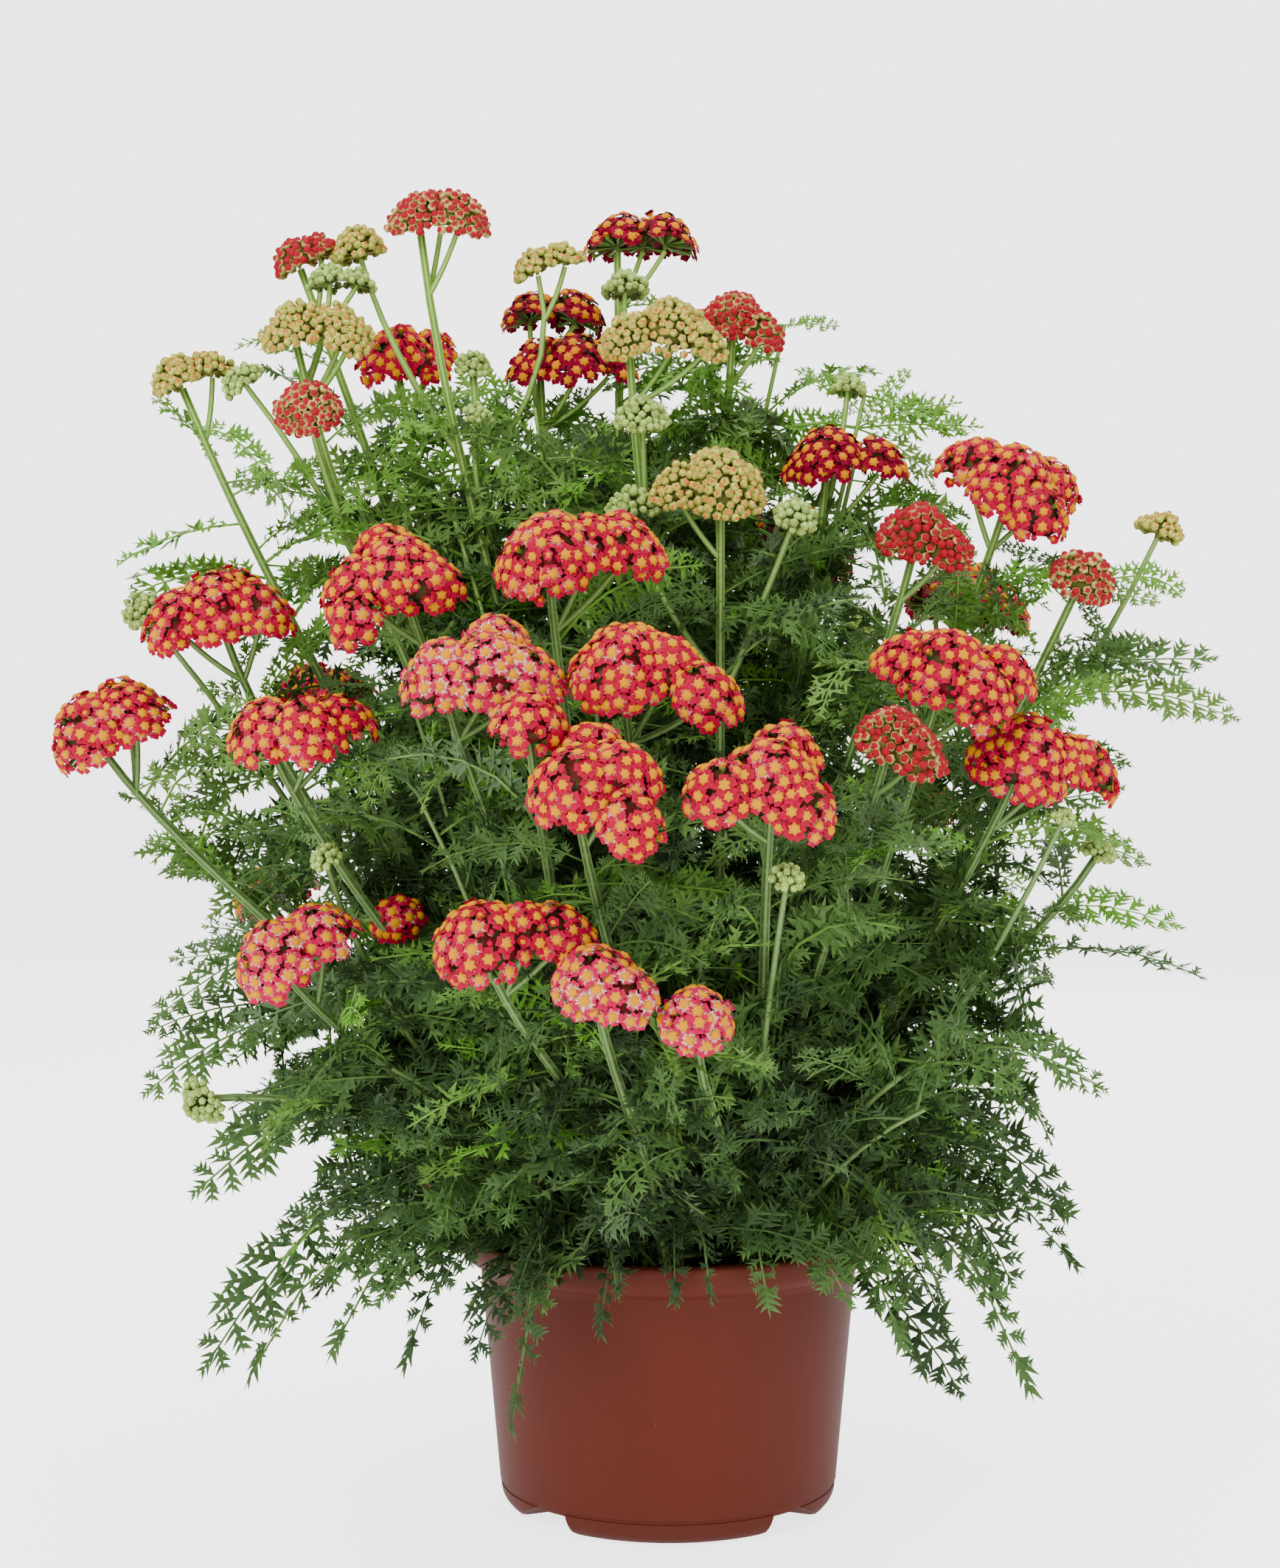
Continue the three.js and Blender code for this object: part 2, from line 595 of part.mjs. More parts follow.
// A leaf cut to its rib: a three-sided rib whose sides are drawn out into a leaflet at each step.
function makeLeaf(rib, halfWidth) {
  const { stations, tips, end } = leafFrame(rib, halfWidth);
  const points = [];
  for (const { p, side, normal } of stations) {
    const low = p.clone().addScaledVector(normal, -leafSize.thickness / 2);
    points.push(p.clone().addScaledVector(normal, leafSize.thickness / 2));
    points.push(low.clone().addScaledVector(side, -leafSize.rib / 2));
    points.push(low.addScaledVector(side, leafSize.rib / 2));
  }
  const faces = [[0, 1, 2]];
  tips.forEach(([left, right], i) => {
    const [top, lowLeft, lowRight] = [3 * i, 3 * i + 1, 3 * i + 2];
    faces.push([lowLeft, lowRight + 3, lowRight], [lowLeft, lowLeft + 3, lowRight + 3]);
    if (i === 0) { // the bare stalk
      faces.push([top, top + 3, lowLeft], [lowLeft, top + 3, lowLeft + 3]);
      faces.push([top, lowRight, lowRight + 3], [top, lowRight + 3, top + 3]);
      return;
    }
    const a = points.push(left) - 1;
    const b = points.push(right) - 1;
    const leftRing = [top, lowLeft, lowLeft + 3, top + 3];
    const rightRing = [top, top + 3, lowRight + 3, lowRight];
    leftRing.forEach((from, k) => faces.push([a, leftRing[(k + 1) % 4], from]));
    rightRing.forEach((from, k) => faces.push([b, rightRing[(k + 1) % 4], from]));
  });
  const last = 3 * (stations.length - 1);
  const tip = points.push(end) - 1;
  faces.push([last, tip, last + 1], [last + 1, tip, last + 2], [last + 2, tip, last]);
  return shape(points, faces);
}

// Points all over a leaf, to keep it clear of the rest.
function leafSpots(rib, halfWidth) {
  const { tips, end } = leafFrame(rib, halfWidth);
  const spots = rib.slice(1).concat([end]);
  tips.forEach(([left, right], i) => {
    if (i) spots.push(left, right, left.clone().lerp(rib[i], 0.5), right.clone().lerp(rib[i], 0.5));
  });
  return spots;
}

// ---- What is already there ----

const taken = []; // spots with a radius and the crown that they belong to

function take(points, radius, from) {
  points.forEach((p) => taken.push({ p, radius, from }));
}

function isOffPot(p) {
  const out = Math.hypot(p.x, p.y);
  const inMouth = out < innerRadius(pot.height) - room.pot && p.z > soil.top + room.pot;
  return p.z > 2 * room.pot && (inMouth || out > pot.rimRadius + room.pot || p.z > pot.height + room.pot);
}

// A leaf's spots touch nothing but its own stem near its root.
function isClear(spots, root, from) {
  return spots.every((p) => {
    const isNearRoot = p.distanceTo(root) < room.nearRoot;
    return (isNearRoot || isOffPot(p)) && taken.every((t) => {
      if (t.from === from && isNearRoot) return true;
      return t.p.distanceTo(p) > t.radius + (t.from === from ? room.own : room.others);
    });
  });
}

// Tries a leaf at a few azimuths and grows the first that is clear.
function growLeaf(from, root, azimuth, rise, bend, length, halfWidth) {
  for (const turn of leafSize.turns) {
    const rib = ribOf(root, azimuth + turn, rise, bend, length, leafSize.pairs);
    const spots = leafSpots(rib, halfWidth);
    if (!isClear(spots, root, from)) continue;
    addLeaf(from, rib, halfWidth, spots);
    return;
  }
}

// ---- Growing the clumps ----

const clumps = new Map(Object.keys(crowns).map((name) => [name, [makeCrown(name, 0)]]));
const headPlans = [];
const leafRoots = [];
const feet = {}; // stems on each crown so far

// The next stem's foot on a crown, beside the last one's.
function nextFoot(from) {
  feet[from] = (feet[from] ?? -1) + 1;
  return crownPlace(from).add(onCompass(crown.footTurn * feet[from], crown.footDistance, 0));
}

// Balls of a third of a dome's radius under its surface stand for a head.
function takeHead(plan) {
  const { origin, turn } = headFrame(plan);
  for (const [right, back, radius] of plan.domes) {
    for (const out of [0, 0.5, 0.9]) {
      for (let k = 0; k < (out ? 8 : 1); k++) {
        const { x, y } = onCompass(45 * k, out * radius, 0).add(vec(right, back, 0));
        const z = headHeight(plan.domes, x, y) - radius / 4;
        take([vec(x, y, z).applyQuaternion(turn).add(origin)], radius / 3, "a head");
      }
    }
  }
}

// A head's further domes stand on branches that part from its stem a little below it.
function growHead(plan, from, line) {
  const seats = seatsOf(plan);
  const drop = plan.domes[0][2] + stemSize.forkDrop;
  const fork = line.filter((p) => p.distanceTo(seats[0].p) > drop).pop() ?? line[0];
  const { branch, sides } = stemSize;
  for (const { p, axis } of seats.slice(1, 3)) {
    clumps.get(from).push(tapered([fork, p], branch, branch, sides, axis));
  }
  takeHead(plan);
  headPlans.push({ ...plan, from });
}

for (const { from, heads } of stems) {
  const [first, ...others] = heads;
  const { foot, tip, branch, sides, steps } = stemSize;
  const curve = stemCurve(nextFoot(from), first);
  const fine = bezier(curve, 60);
  clumps.get(from).push(tapered(bezier(curve, steps), foot, tip, sides, headFrame(first).axis));
  take(fine, foot, from);
  growHead(first, from, fine);
  for (const other of others) {
    const side = bezier(sideCurve(fine, other), 16);
    clumps.get(from).push(tapered([side[0], side[8], side[16]], tip, branch, sides, headFrame(other).axis));
    take(side, tip, from);
    growHead(other, from, side);
  }
  leafRoots.push({ from, fine, top: foliage.highest });
}

for (const [from, tip] of shoots) {
  const foot = nextFoot(from);
  const end = vec(...tip);
  const points = [foot, foot.clone().lerp(end, 0.4).add(vec(0, 0, 0.25 * foot.distanceTo(end))), end];
  const fine = bezier(points, 40);
  clumps.get(from).push(tapered(bezier(points, 3), stemSize.tip, stemSize.branch, stemSize.sides));
  take(fine, stemSize.tip, from);
  leafRoots.push({ from, fine, top: foliage.shootHighest });
}

function addLeaf(from, rib, halfWidth, spots) {
  take(spots, 0, from);
  clumps.get(from).push(toSolid(makeLeaf(rib, halfWidth)));
}

// Fronds over the rim, turned a little where one is in the way
for (const [from, azimuth, reach, low] of fronds) {
  const root = crownPlace(from);
  for (const turn of frond.turns) {
    const over = onCompass(azimuth + turn, frond.crest * reach, pot.height + frond.crestHeight);
    const rib = bezier([root, over, onCompass(azimuth + turn, reach, low)], frond.pairs);
    const spots = leafSpots(rib, frond.halfWidth);
    if (!isClear(spots, root, from)) continue;
    addLeaf(from, rib, frond.halfWidth, spots);
    break;
  }
}

// A leaf at the tip of each shoot, pointing outwards
for (const [from, tip] of shoots) {
  const root = vec(...tip);
  const out = THREE.MathUtils.radToDeg(Math.atan2(root.y, root.x));
  growLeaf(from, root, out, tipLeaf.rise, tipLeaf.bend, tipLeaf.length, tipLeaf.halfWidth);
}

// Leaves along the stems, spread evenly over their heights, with a second one on every other stem
const between = ([low, high]) => lerp(low, high, draw());
for (let k = 0; k < foliage.perStem; k++) {
  leafRoots.forEach(({ from, fine, top }, i) => {
    if (k && i % 2) return;
    const { lowest, step } = foliage;
    const t = lerp(lowest, top, (step * (i + 0.37 * k)) % 1);
    const root = fine[Math.round(t * (fine.length - 1))];
    const azimuth = 137.5 * k + 71 * i + 30 * draw(); // all round the stems
    const length = lerp(...leafSize.lengths, t) * between(leafSize.variation);
    const rise = between(leafSize.rise);
    const bend = rise + between(leafSize.bend);
    growLeaf(from, root, azimuth, rise, bend, length, leafSize.width * length);
  });
}

// ---- The scene ----

const finish = (color, roughness) => new THREE.MeshStandardMaterial({ color, roughness, metalness: 0 });
const finishes = {
  pot: finish(0x7d3c2d, 0.45),
  soil: finish(0x2e241c, 1),
  leaf: finish(0x3f6a35, 0.7),
  open: finish(0xc8243c, 0.7),
  dark: finish(0x9e1a2c, 0.7),
  bud: finish(0xb0604a, 0.75),
  young: finish(0xa9a857, 0.75),
};

const plant = new THREE.Group();

function addMesh(name, geometry, material) {
  const mesh = new THREE.Mesh(geometry, material);
  mesh.name = name;
  plant.add(mesh);
  return mesh;
}

addMesh("pot", makePot(), finishes.pot);
addMesh("soil", makeSoil(), finishes.soil);

const counts = {};
for (const plan of headPlans) {
  const { origin, turn } = headFrame(plan);
  const solid = makeHead(plan);
  const matrix = new THREE.Matrix4().compose(origin, turn, vec(1, 1, 1));
  if (plan.stage === "green") {
    clumps.get(plan.from).push(solid.transform(matrix.elements));
    continue;
  }
  counts[plan.stage] = (counts[plan.stage] ?? 0) + 1;
  const mesh = addMesh(`${plan.stage}_head_${counts[plan.stage]}`, toGeometry(solid), finishes[plan.stage]);
  mesh.position.copy(origin);
  mesh.quaternion.copy(turn);
}

for (const [name, parts] of clumps) {
  addMesh(`clump_${name}`, toGeometry(mainBody(fuse(parts))), finishes.leaf);
}

export default plant;
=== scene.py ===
import math
import random

import bmesh
import bpy
import numpy as np
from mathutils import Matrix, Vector, kdtree, noise


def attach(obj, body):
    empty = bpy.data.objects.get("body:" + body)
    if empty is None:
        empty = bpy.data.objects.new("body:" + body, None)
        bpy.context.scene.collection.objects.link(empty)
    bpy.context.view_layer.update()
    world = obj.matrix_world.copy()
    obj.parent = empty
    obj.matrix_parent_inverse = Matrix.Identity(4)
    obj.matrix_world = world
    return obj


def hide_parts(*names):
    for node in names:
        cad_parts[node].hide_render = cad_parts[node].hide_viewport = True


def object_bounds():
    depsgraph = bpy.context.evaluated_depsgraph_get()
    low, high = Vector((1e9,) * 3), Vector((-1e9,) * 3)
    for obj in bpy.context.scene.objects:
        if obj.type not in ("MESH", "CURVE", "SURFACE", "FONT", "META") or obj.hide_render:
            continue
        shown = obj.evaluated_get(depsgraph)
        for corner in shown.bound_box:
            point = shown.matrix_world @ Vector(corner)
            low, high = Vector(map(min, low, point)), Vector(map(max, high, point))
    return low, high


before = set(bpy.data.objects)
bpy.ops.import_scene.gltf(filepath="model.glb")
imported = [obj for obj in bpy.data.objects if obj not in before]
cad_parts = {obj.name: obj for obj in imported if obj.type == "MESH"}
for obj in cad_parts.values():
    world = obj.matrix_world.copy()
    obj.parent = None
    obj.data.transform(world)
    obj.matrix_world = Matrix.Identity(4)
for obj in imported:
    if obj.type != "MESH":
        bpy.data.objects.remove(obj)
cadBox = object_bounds()
print("frame loaded:", len(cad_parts), "solids")

# Camera, light and floor

view = {"place": (-0.013, -1.35, 0.397), "down": 2.77, "lens": 67.6}
lights = {  # place, size in metres, power in watts
    "keyLight": ((-1.2, -1.7, 1.6), 1.2, 42),
    "fillLight": ((1.5, -1.3, 0.9), 1.5, 10),
    "topLight": ((0.1, 0.2, 2.0), 1.5, 22),
    "backLight": ((0.4, 1.8, 1.1), 1.5, 16),
}
studio = {"floorSize": 90, "floorGlow": 0.6, "floorSeen": 2.6, "skyLight": 0.85, "skySeen": 3.6,
          "aim": Vector((0, 0, 0.3))}


def placeThing(name, data, place, turn):
    thing = bpy.data.objects.new(name, data)
    thing.location, thing.rotation_euler = place, turn
    bpy.context.collection.objects.link(thing)
    return thing


def setCamera():
    data = bpy.data.cameras.new("frontCamera")
    data.lens = view["lens"]
    turn = (math.radians(90 - view["down"]), 0, 0)
    bpy.context.scene.camera = placeThing("frontCamera", data, view["place"], turn)


def setLights():
    for name, (place, size, power) in lights.items():
        data = bpy.data.lights.new(name, "AREA")
        data.size, data.energy = size, power
        placeThing(name, data, place, (studio["aim"] - Vector(place)).to_track_quat("-Z", "Y").to_euler())
    world = bpy.data.worlds.new("studioWorld")
    world.use_nodes = True
    sky = world.node_tree.nodes["Background"]
    sky.inputs["Color"].default_value = (1, 1, 1, 1)
    glowFor(world.node_tree, studio["skyLight"], studio["skySeen"], sky.inputs["Strength"])
    bpy.context.scene.world = world


# The backdrop is brighter to look at than the light that it gives.
def glowFor(tree, given, seen, socket):
    path = tree.nodes.new("ShaderNodeLightPath")
    strength = tree.nodes.new("ShaderNodeMapRange")
    strength.inputs["To Min"].default_value = given
    strength.inputs["To Max"].default_value = seen
    tree.links.new(path.outputs["Is Camera Ray"], strength.inputs["Value"])
    tree.links.new(strength.outputs["Result"], socket)


setCamera()
setLights()
print("camera and lights set")

# Materials


# A socket that takes part in Python expressions, which add their Math nodes.
class Wire:
    def __init__(self, tree, socket=None):
        self.tree, self.socket = tree, socket

    def node(self, kind, settings, inputs, output=0):
        new = self.tree.nodes.new("ShaderNode" + kind)
        for key, value in settings.items():
            setattr(new, key, value)
        for key, value in inputs.items():
            if isinstance(value, Wire):
                self.tree.links.new(value.socket, new.inputs[key])
            else:
                new.inputs[key].default_value = value
        return Wire(self.tree, new.outputs[output])

    def maths(self, operation, *values):
        return self.node("Math", {"operation": operation}, dict(enumerate(values)))

    def __add__(self, other):
        return self.maths("ADD", self, other)

    def __sub__(self, other):
        return self.maths("SUBTRACT", self, other)

    def __rsub__(self, other):
        return self.maths("SUBTRACT", other, self)

    def __mul__(self, other):
        return self.maths("MULTIPLY", self, other)

    __radd__ = __add__
    __rmul__ = __mul__

    def smooth(self, low, high):
        settings = {"interpolation_type": "SMOOTHSTEP"}
        return self.node("MapRange", settings, {"Value": self, "From Min": low, "From Max": high})

    def blend(self, *paints):
        first, second = (paint if isinstance(paint, Wire) else colour(*paint) for paint in paints)
        return self.node("Mix", {"data_type": "RGBA"}, {"Factor": self, 6: first, 7: second}, 2)

    # Blends from the first colour to a share of the second one as the value rises from low to high.
    def tint(self, low, high, share, first, second):
        return (self.smooth(low, high) * share).blend(first, second)

    def ramp(self, *stops):
        wire = self.node("ValToRGB", {}, {"Fac": self})
        elements = wire.socket.node.color_ramp.elements
        while len(elements) < len(stops):
            elements.new(1)
        for element, (place, paint) in zip(elements, stops):
            element.position, element.color = place, colour(*paint)
        return wire

    def noise(self, place, scale=1.0, detail=2):
        inputs = {"Vector": place, "Scale": scale, "Detail": detail}
        return self.node("TexNoise", {"noise_dimensions": "3D"}, inputs)

    def vector(self, x, y, z=0.0):
        return self.node("CombineXYZ", {}, {0: x, 1: y, 2: z})

    def specks(self, x, y, z=0.0, detail=2):
        return self.noise(self.vector(x, y, z), detail=detail)

    def part(self, index):
        return self.node("SeparateXYZ", {}, {0: self}, index)

    def bump(self, height, strength, distance):
        inputs = {"Height": height, "Strength": strength, "Distance": distance}
        return self.node("Bump", {}, inputs)


# A colour in levels of 0 to 255, as the linear light that shaders take.
def colour(*levels):
    shares = [level / 255 for level in levels]
    return (*(share / 12.92 if share < 0.0431 else ((share + 0.055) / 1.055) ** 2.4 for share in shares), 1)


def newMaterial(name):
    material = bpy.data.materials.new(name)
    material.use_nodes = True
    return material, Wire(material.node_tree)


shaderInputs = {"base": "Base Color", "rough": "Roughness", "normal": "Normal", "sheen": "Sheen Weight",
                "specular": "Specular IOR Level", "glowColour": "Emission Color"}


def finishMaterial(material, **sockets):
    shader = material.node_tree.nodes["Principled BSDF"]
    for name, value in sockets.items():
        socket = shader.inputs[shaderInputs[name]]
        if isinstance(value, Wire):
            material.node_tree.links.new(value.socket, socket)
        else:
            socket.default_value = value
    return material


# The two coordinates of a plant piece's own map: across is its tone, along runs from 0 to 1.
def mapOf(wire):
    both = wire.node("UVMap", {"uv_map": "OFBake"}, {})
    return both.part(0), both.part(1)


# What repeats in a piece, by its window of the piece's map. Each window is cut into cells.
windows = {"petal": (0, 0.5), "disc": (0.5, 0.7), "calyx": (0.7, 1), "bud": (0, 1), "stem": (0, 1)}
cells = {"petal": 6, "disc": 3, "calyx": 3, "bud": 6, "stem": 6}
materialPlaces = {"disc": 1, "calyx": 2}  # of a flower head's materials, or else 0
margin = 0.1  # kept free at the sides of a cell


# Which cell of a window, how far across it and how far along.
def cellsOf(wire, kind):
    across, along = mapOf(wire)
    low, high = windows[kind]
    place = (across - low) * (cells[kind] / (high - low))
    cell = place.maths("FLOOR", place)
    return cell * (1 / (cells[kind] - 1)), place - cell, along


def makeLeafMaterial():
    material, wire = newMaterial("leafGreen")
    tone, along = mapOf(wire)
    # Tones run from the dark greens of painted shade in the plant's core to the lighter greens of painted
    # light at its top and outside; the lowest is a withered brown, those near 0.84 lime and the highest
    # greyish.
    blade = tone.ramp((0.03, (98, 72, 40)), (0.06, (33, 50, 22)), (0.25, (52, 79, 36)),
                      (0.5, (78, 112, 50)), (0.7, (108, 146, 60)), (0.84, (106, 172, 34)),
                      (0.88, (106, 132, 86)), (1, (86, 112, 70)))
    rib = tone.ramp((0.03, (130, 104, 66)), (0.06, (60, 88, 40)), (0.5, (98, 138, 58)),
                    (0.84, (132, 186, 62)), (1, (116, 146, 88)))
    green = along.tint(0.75, 1.0, 0.3, blade, (134, 180, 80))
    shaded = wire.specks(tone * 60, along * 9).tint(0.35, 0.7, 0.3, green, (44, 80, 34))
    base = along.smooth(0.1, 0.26).blend(rib, shaded)
    return finishMaterial(material, base=base, rough=0.62 - along * 0.08, specular=0.25, sheen=0.05)


def makeStemMaterial():
    material, wire = newMaterial("stemGreen")
    cell, across, height = cellsOf(wire, "stem")
    ridge = across.smooth(0.2, 0.8)
    low = ridge.blend((66, 98, 40), (126, 158, 88))
    high = ridge.blend((104, 146, 50), (164, 204, 92))
    body = height.smooth(0.5, 0.95).blend(low, high)
    hairs = wire.specks(across * 3 + cell * 17, height * 260, detail=3)
    base = hairs.tint(0.5, 0.75, 0.3, body, (190, 210, 150))
    return finishMaterial(material, base=base, rough=0.6, specular=0.2, sheen=0.06)


def makePetalMaterial(name, deep, bright, pale, paleness):
    material, wire = newMaterial(name)
    cell, across, along = cellsOf(wire, "petal")
    edge = (across - 0.5) * 2
    edge = edge.maths("ABSOLUTE", edge)
    streaks = wire.specks(across * 9 + cell * 31, along * 1.6, cell * 7, 3)
    blush = wire.specks(across * 2 + cell * 13, along * 2.2, cell * 3, 1)
    red = (along * 0.6 + blush * 0.5).smooth(0.25, 0.85).blend(deep, bright)
    pink = (blush.smooth(0.48, 0.7) * (cell * 0.8 + 0.25)).blend(red, (200, 6, 78))
    reach = (1 - along) * 0.9 + edge * 0.35 + streaks * 0.7 + cell * 0.22
    base = reach.smooth(1.04 - paleness, 1.42 - paleness).blend(pink, pale)
    return finishMaterial(material, base=base, rough=0.6, specular=0.06)


def makeDiscMaterial(name, rim, middle):
    material, wire = newMaterial(name)
    cell, across, along = cellsOf(wire, "disc")
    body = along.smooth(0.1, 0.9).blend(rim, middle)
    base = wire.specks(across * 8 + cell * 21, along * 7).tint(0.5, 0.68, 0.75, body, (236, 172, 0))
    return finishMaterial(material, base=base, rough=0.8, specular=0.05)


# The last cell is for the cushion under the flowers: olive and dark red, painted shade of their cups and
# petals between the flowers.
def makeCalyxAndShadeMaterial():
    material, wire = newMaterial("calyxGreenAndShade")
    cell, across, along = cellsOf(wire, "calyx")
    scales = wire.specks(across * 6 + cell * 11, along * 5)
    body = along.smooth(0.3, 0.9).blend((96, 130, 54), (140, 166, 74))
    scaly = scales.tint(0.55, 0.7, 0.5, body, (112, 74, 40))
    # Painted shade: the cushion's cell is dark olive and dark red, like shadowed cups and petals.
    shade = scales.smooth(0.4, 0.6).blend((64, 72, 30), (116, 4, 28))
    base = cell.smooth(0.7, 0.9).blend(scaly, shade)
    return finishMaterial(material, base=base, rough=0.65, specular=0.15)


# Buds: scales from the base to the tip, with the colour of the petals that show at the tip. Their foot is
# dark olive, as painted shade between the buds.
def makeBudMaterial(name, low, high, scaleEdge, tip, tipFrom, tipShare):
    material, wire = newMaterial(name)
    cell, across, along = cellsOf(wire, "bud")
    bracts = wire.node("TexVoronoi", {"feature": "DISTANCE_TO_EDGE"},
                       {"Vector": wire.vector(across * 2.2 + cell * 19, along * 3.2), "Scale": 1.0})
    body = along.smooth(0.1, 0.92).blend(low, high)
    edged = ((1 - bracts.smooth(0.0, 0.16)) * 0.8).blend(body, scaleEdge)
    # Painted shade: dark olive at the foot of each bud and over the cushion under the buds.
    shaded = along.smooth(0.03, 0.22).blend((84, 84, 34), edged)
    wobble = wire.specks(across * 4 + cell * 23, cell * 5, detail=1)
    showing = (along * 1.1 + wobble * 0.35 + cell * tipShare).smooth(tipFrom, tipFrom + 0.14)
    return finishMaterial(material, base=showing.blend(shaded, tip), rough=0.65, specular=0.12)


petalColours = {  # deep, bright and pale, and how far the pale reaches
    "openPetal": ((146, 0, 34), (182, 0, 54), (255, 214, 184), 0.1),
    "pinkPetal": ((150, 0, 44), (196, 4, 72), (255, 214, 192), 0.2),
    "darkPetal": ((92, 0, 22), (130, 0, 38), (206, 96, 96), -0.2),
}
discColours = {"openDisc": ((212, 120, 0), (228, 156, 0)), "darkDisc": ((200, 104, 0), (218, 138, 0))}
budColours = {  # low, high, edges of scales and tip, where the tip starts and how much that varies
    "redBud": ((132, 148, 56), (242, 220, 138), (156, 100, 50), (160, 20, 38), 1.04, 0.4),
    "youngBud": ((116, 138, 50), (216, 216, 102), (136, 118, 50), (200, 104, 40), 1.19, 0.1),
    "greenBud": ((126, 164, 84), (188, 222, 112), (104, 100, 56), (176, 186, 80), 1.5, 0.05),
}
plantMaterials = {"leaf": makeLeafMaterial(), "stem": makeStemMaterial(), "calyx": makeCalyxAndShadeMaterial()}
for make, table in ((makePetalMaterial, petalColours), (makeDiscMaterial, discColours),
                    (makeBudMaterial, budColours)):
    plantMaterials.update({name: make(name, *row) for name, row in table.items()})
print("plant materials made")

# Modelling helpers


def added(operator, **settings):
    bpy.ops.object.select_all(action="DESELECT")
    operator(**settings)
    return bpy.context.object


def selectOnly(*pieces):
    bpy.ops.object.select_all(action="DESELECT")
    for piece in pieces:
        piece.select_set(True)
    bpy.context.view_layer.objects.active = pieces[0]


def startEdit():
    bpy.ops.object.mode_set(mode="EDIT")
    bpy.ops.mesh.select_all(action="SELECT")


# All faces look outwards after an edit.
def endEdit():
    bpy.ops.mesh.select_all(action="SELECT")
    bpy.ops.mesh.normals_make_consistent(inside=False)
    bpy.ops.object.mode_set(mode="OBJECT")


# A closed turned form: a filled circle drawn up through rings of (radius, height).
def turnedForm(rings, sides, name):
    radius, height = rings[0]
    piece = added(bpy.ops.mesh.primitive_circle_add, vertices=sides, radius=radius, fill_type="NGON",
                  location=(0, 0, height))
    piece.name = name
    bpy.ops.object.transform_apply(location=True)
    startEdit()
    for nextRadius, nextHeight in rings[1:]:
        bpy.ops.mesh.extrude_region_move(TRANSFORM_OT_translate={"value": (0, 0, nextHeight - height)})
        ratio = nextRadius / radius
        bpy.ops.transform.resize(value=(ratio, ratio, 1), center_override=(0, 0, nextHeight))
        radius, height = nextRadius, nextHeight
    endEdit()
    return piece


# Opens a turned form at its foot, or at both ends.
def openEnds(piece, both):
    bpy.ops.object.mode_set(mode="EDIT")
    bpy.ops.mesh.select_mode(type="FACE")
    bpy.ops.mesh.select_all(action="DESELECT")
    mesh = bmesh.from_edit_mesh(piece.data)
    for face in mesh.faces:
        face.select_set(face.normal.z < -0.9 or both and face.normal.z > 0.9)
    bmesh.update_edit_mesh(piece.data)
    bpy.ops.mesh.delete(type="FACE")
    bpy.ops.object.mode_set(mode="OBJECT")
    return piece


# Units: what repeats is modelled once, read as points and faces, and copied from there


class Unit:
    def __init__(self, points, across, along, corners, sizes):
        self.points, self.across, self.along = points, across, along
        self.corners, self.sizes = corners, sizes

    def changed(self, points=None, along=None):
        return Unit(self.points if points is None else points, self.across,
                    self.along if along is None else along, self.corners, self.sizes)


# Reads a modelled piece, which is then removed. mapping gives (across, along) for its points.
def takeUnit(piece, mapping):
    mesh = piece.data
    points = np.array([vertex.co[:] for vertex in mesh.vertices])
    corners = np.array([loop.vertex_index for loop in mesh.loops])
    sizes = np.array([face.loop_total for face in mesh.polygons])
    bpy.data.objects.remove(piece)
    bpy.data.meshes.remove(mesh)
    across, along = mapping(points)
    return Unit(points, across, along, corners, sizes)


def shiftedCorners(units, starts):
    return np.concatenate([one.corners + start for one, start in zip(units, starts)])


def joinUnits(units):
    points, across, along, sizes = ([getattr(one, part) for one in units]
                                    for part in ("points", "across", "along", "sizes"))
    starts = np.cumsum([0] + [len(own) for own in points[:-1]])
    return Unit(np.vstack(points), np.concatenate(across), np.concatenate(along),
                shiftedCorners(units, starts), np.concatenate(sizes))


# Runs from -1 to 1 and back, so many times round the axis.
def waves(points, count, shift=0.0):
    return np.cos(count * np.arctan2(points[:, 1], points[:, 0]) + shift)


# What was modelled upright is laid along +X.
def laidDown(one):
    return one.changed(points=one.points[:, [2, 0, 1]])


def turnAbout(axis, degrees):
    x, y, z = axis
    a = math.radians(degrees)
    cross = np.array([[0, -z, y], [z, 0, -x], [-y, x, 0]])
    return np.eye(3) + math.sin(a) * cross + (1 - math.cos(a)) * cross @ cross


xAxis, yAxis, zAxis = np.eye(3)

# Leaf units, along +X with the blade flat, 1 long

lobe = {"stalk": -0.05, "widest": 0.22, "keel": 0.3}


# A lobe is a slim blade, folded along its middle: a plane whose corners are stalk, tip and two sides.
def modelLobe():
    piece = added(bpy.ops.mesh.primitive_plane_add, size=2)
    startEdit()
    bpy.ops.mesh.quads_convert_to_tris(quad_method="FIXED")
    bpy.ops.object.mode_set(mode="OBJECT")
    for vertex in piece.data.vertices:
        x, y, _ = vertex.co
        if x * y > 0:
            vertex.co = (1, 0, 0) if x > 0 else (lobe["stalk"], 0, lobe["keel"])
        else:
            vertex.co = (lobe["widest"], math.copysign(1, y), -lobe["keel"])
    return takeUnit(piece, lambda p: (p[:, 1], p[:, 0]))


lobeUnit = modelLobe()


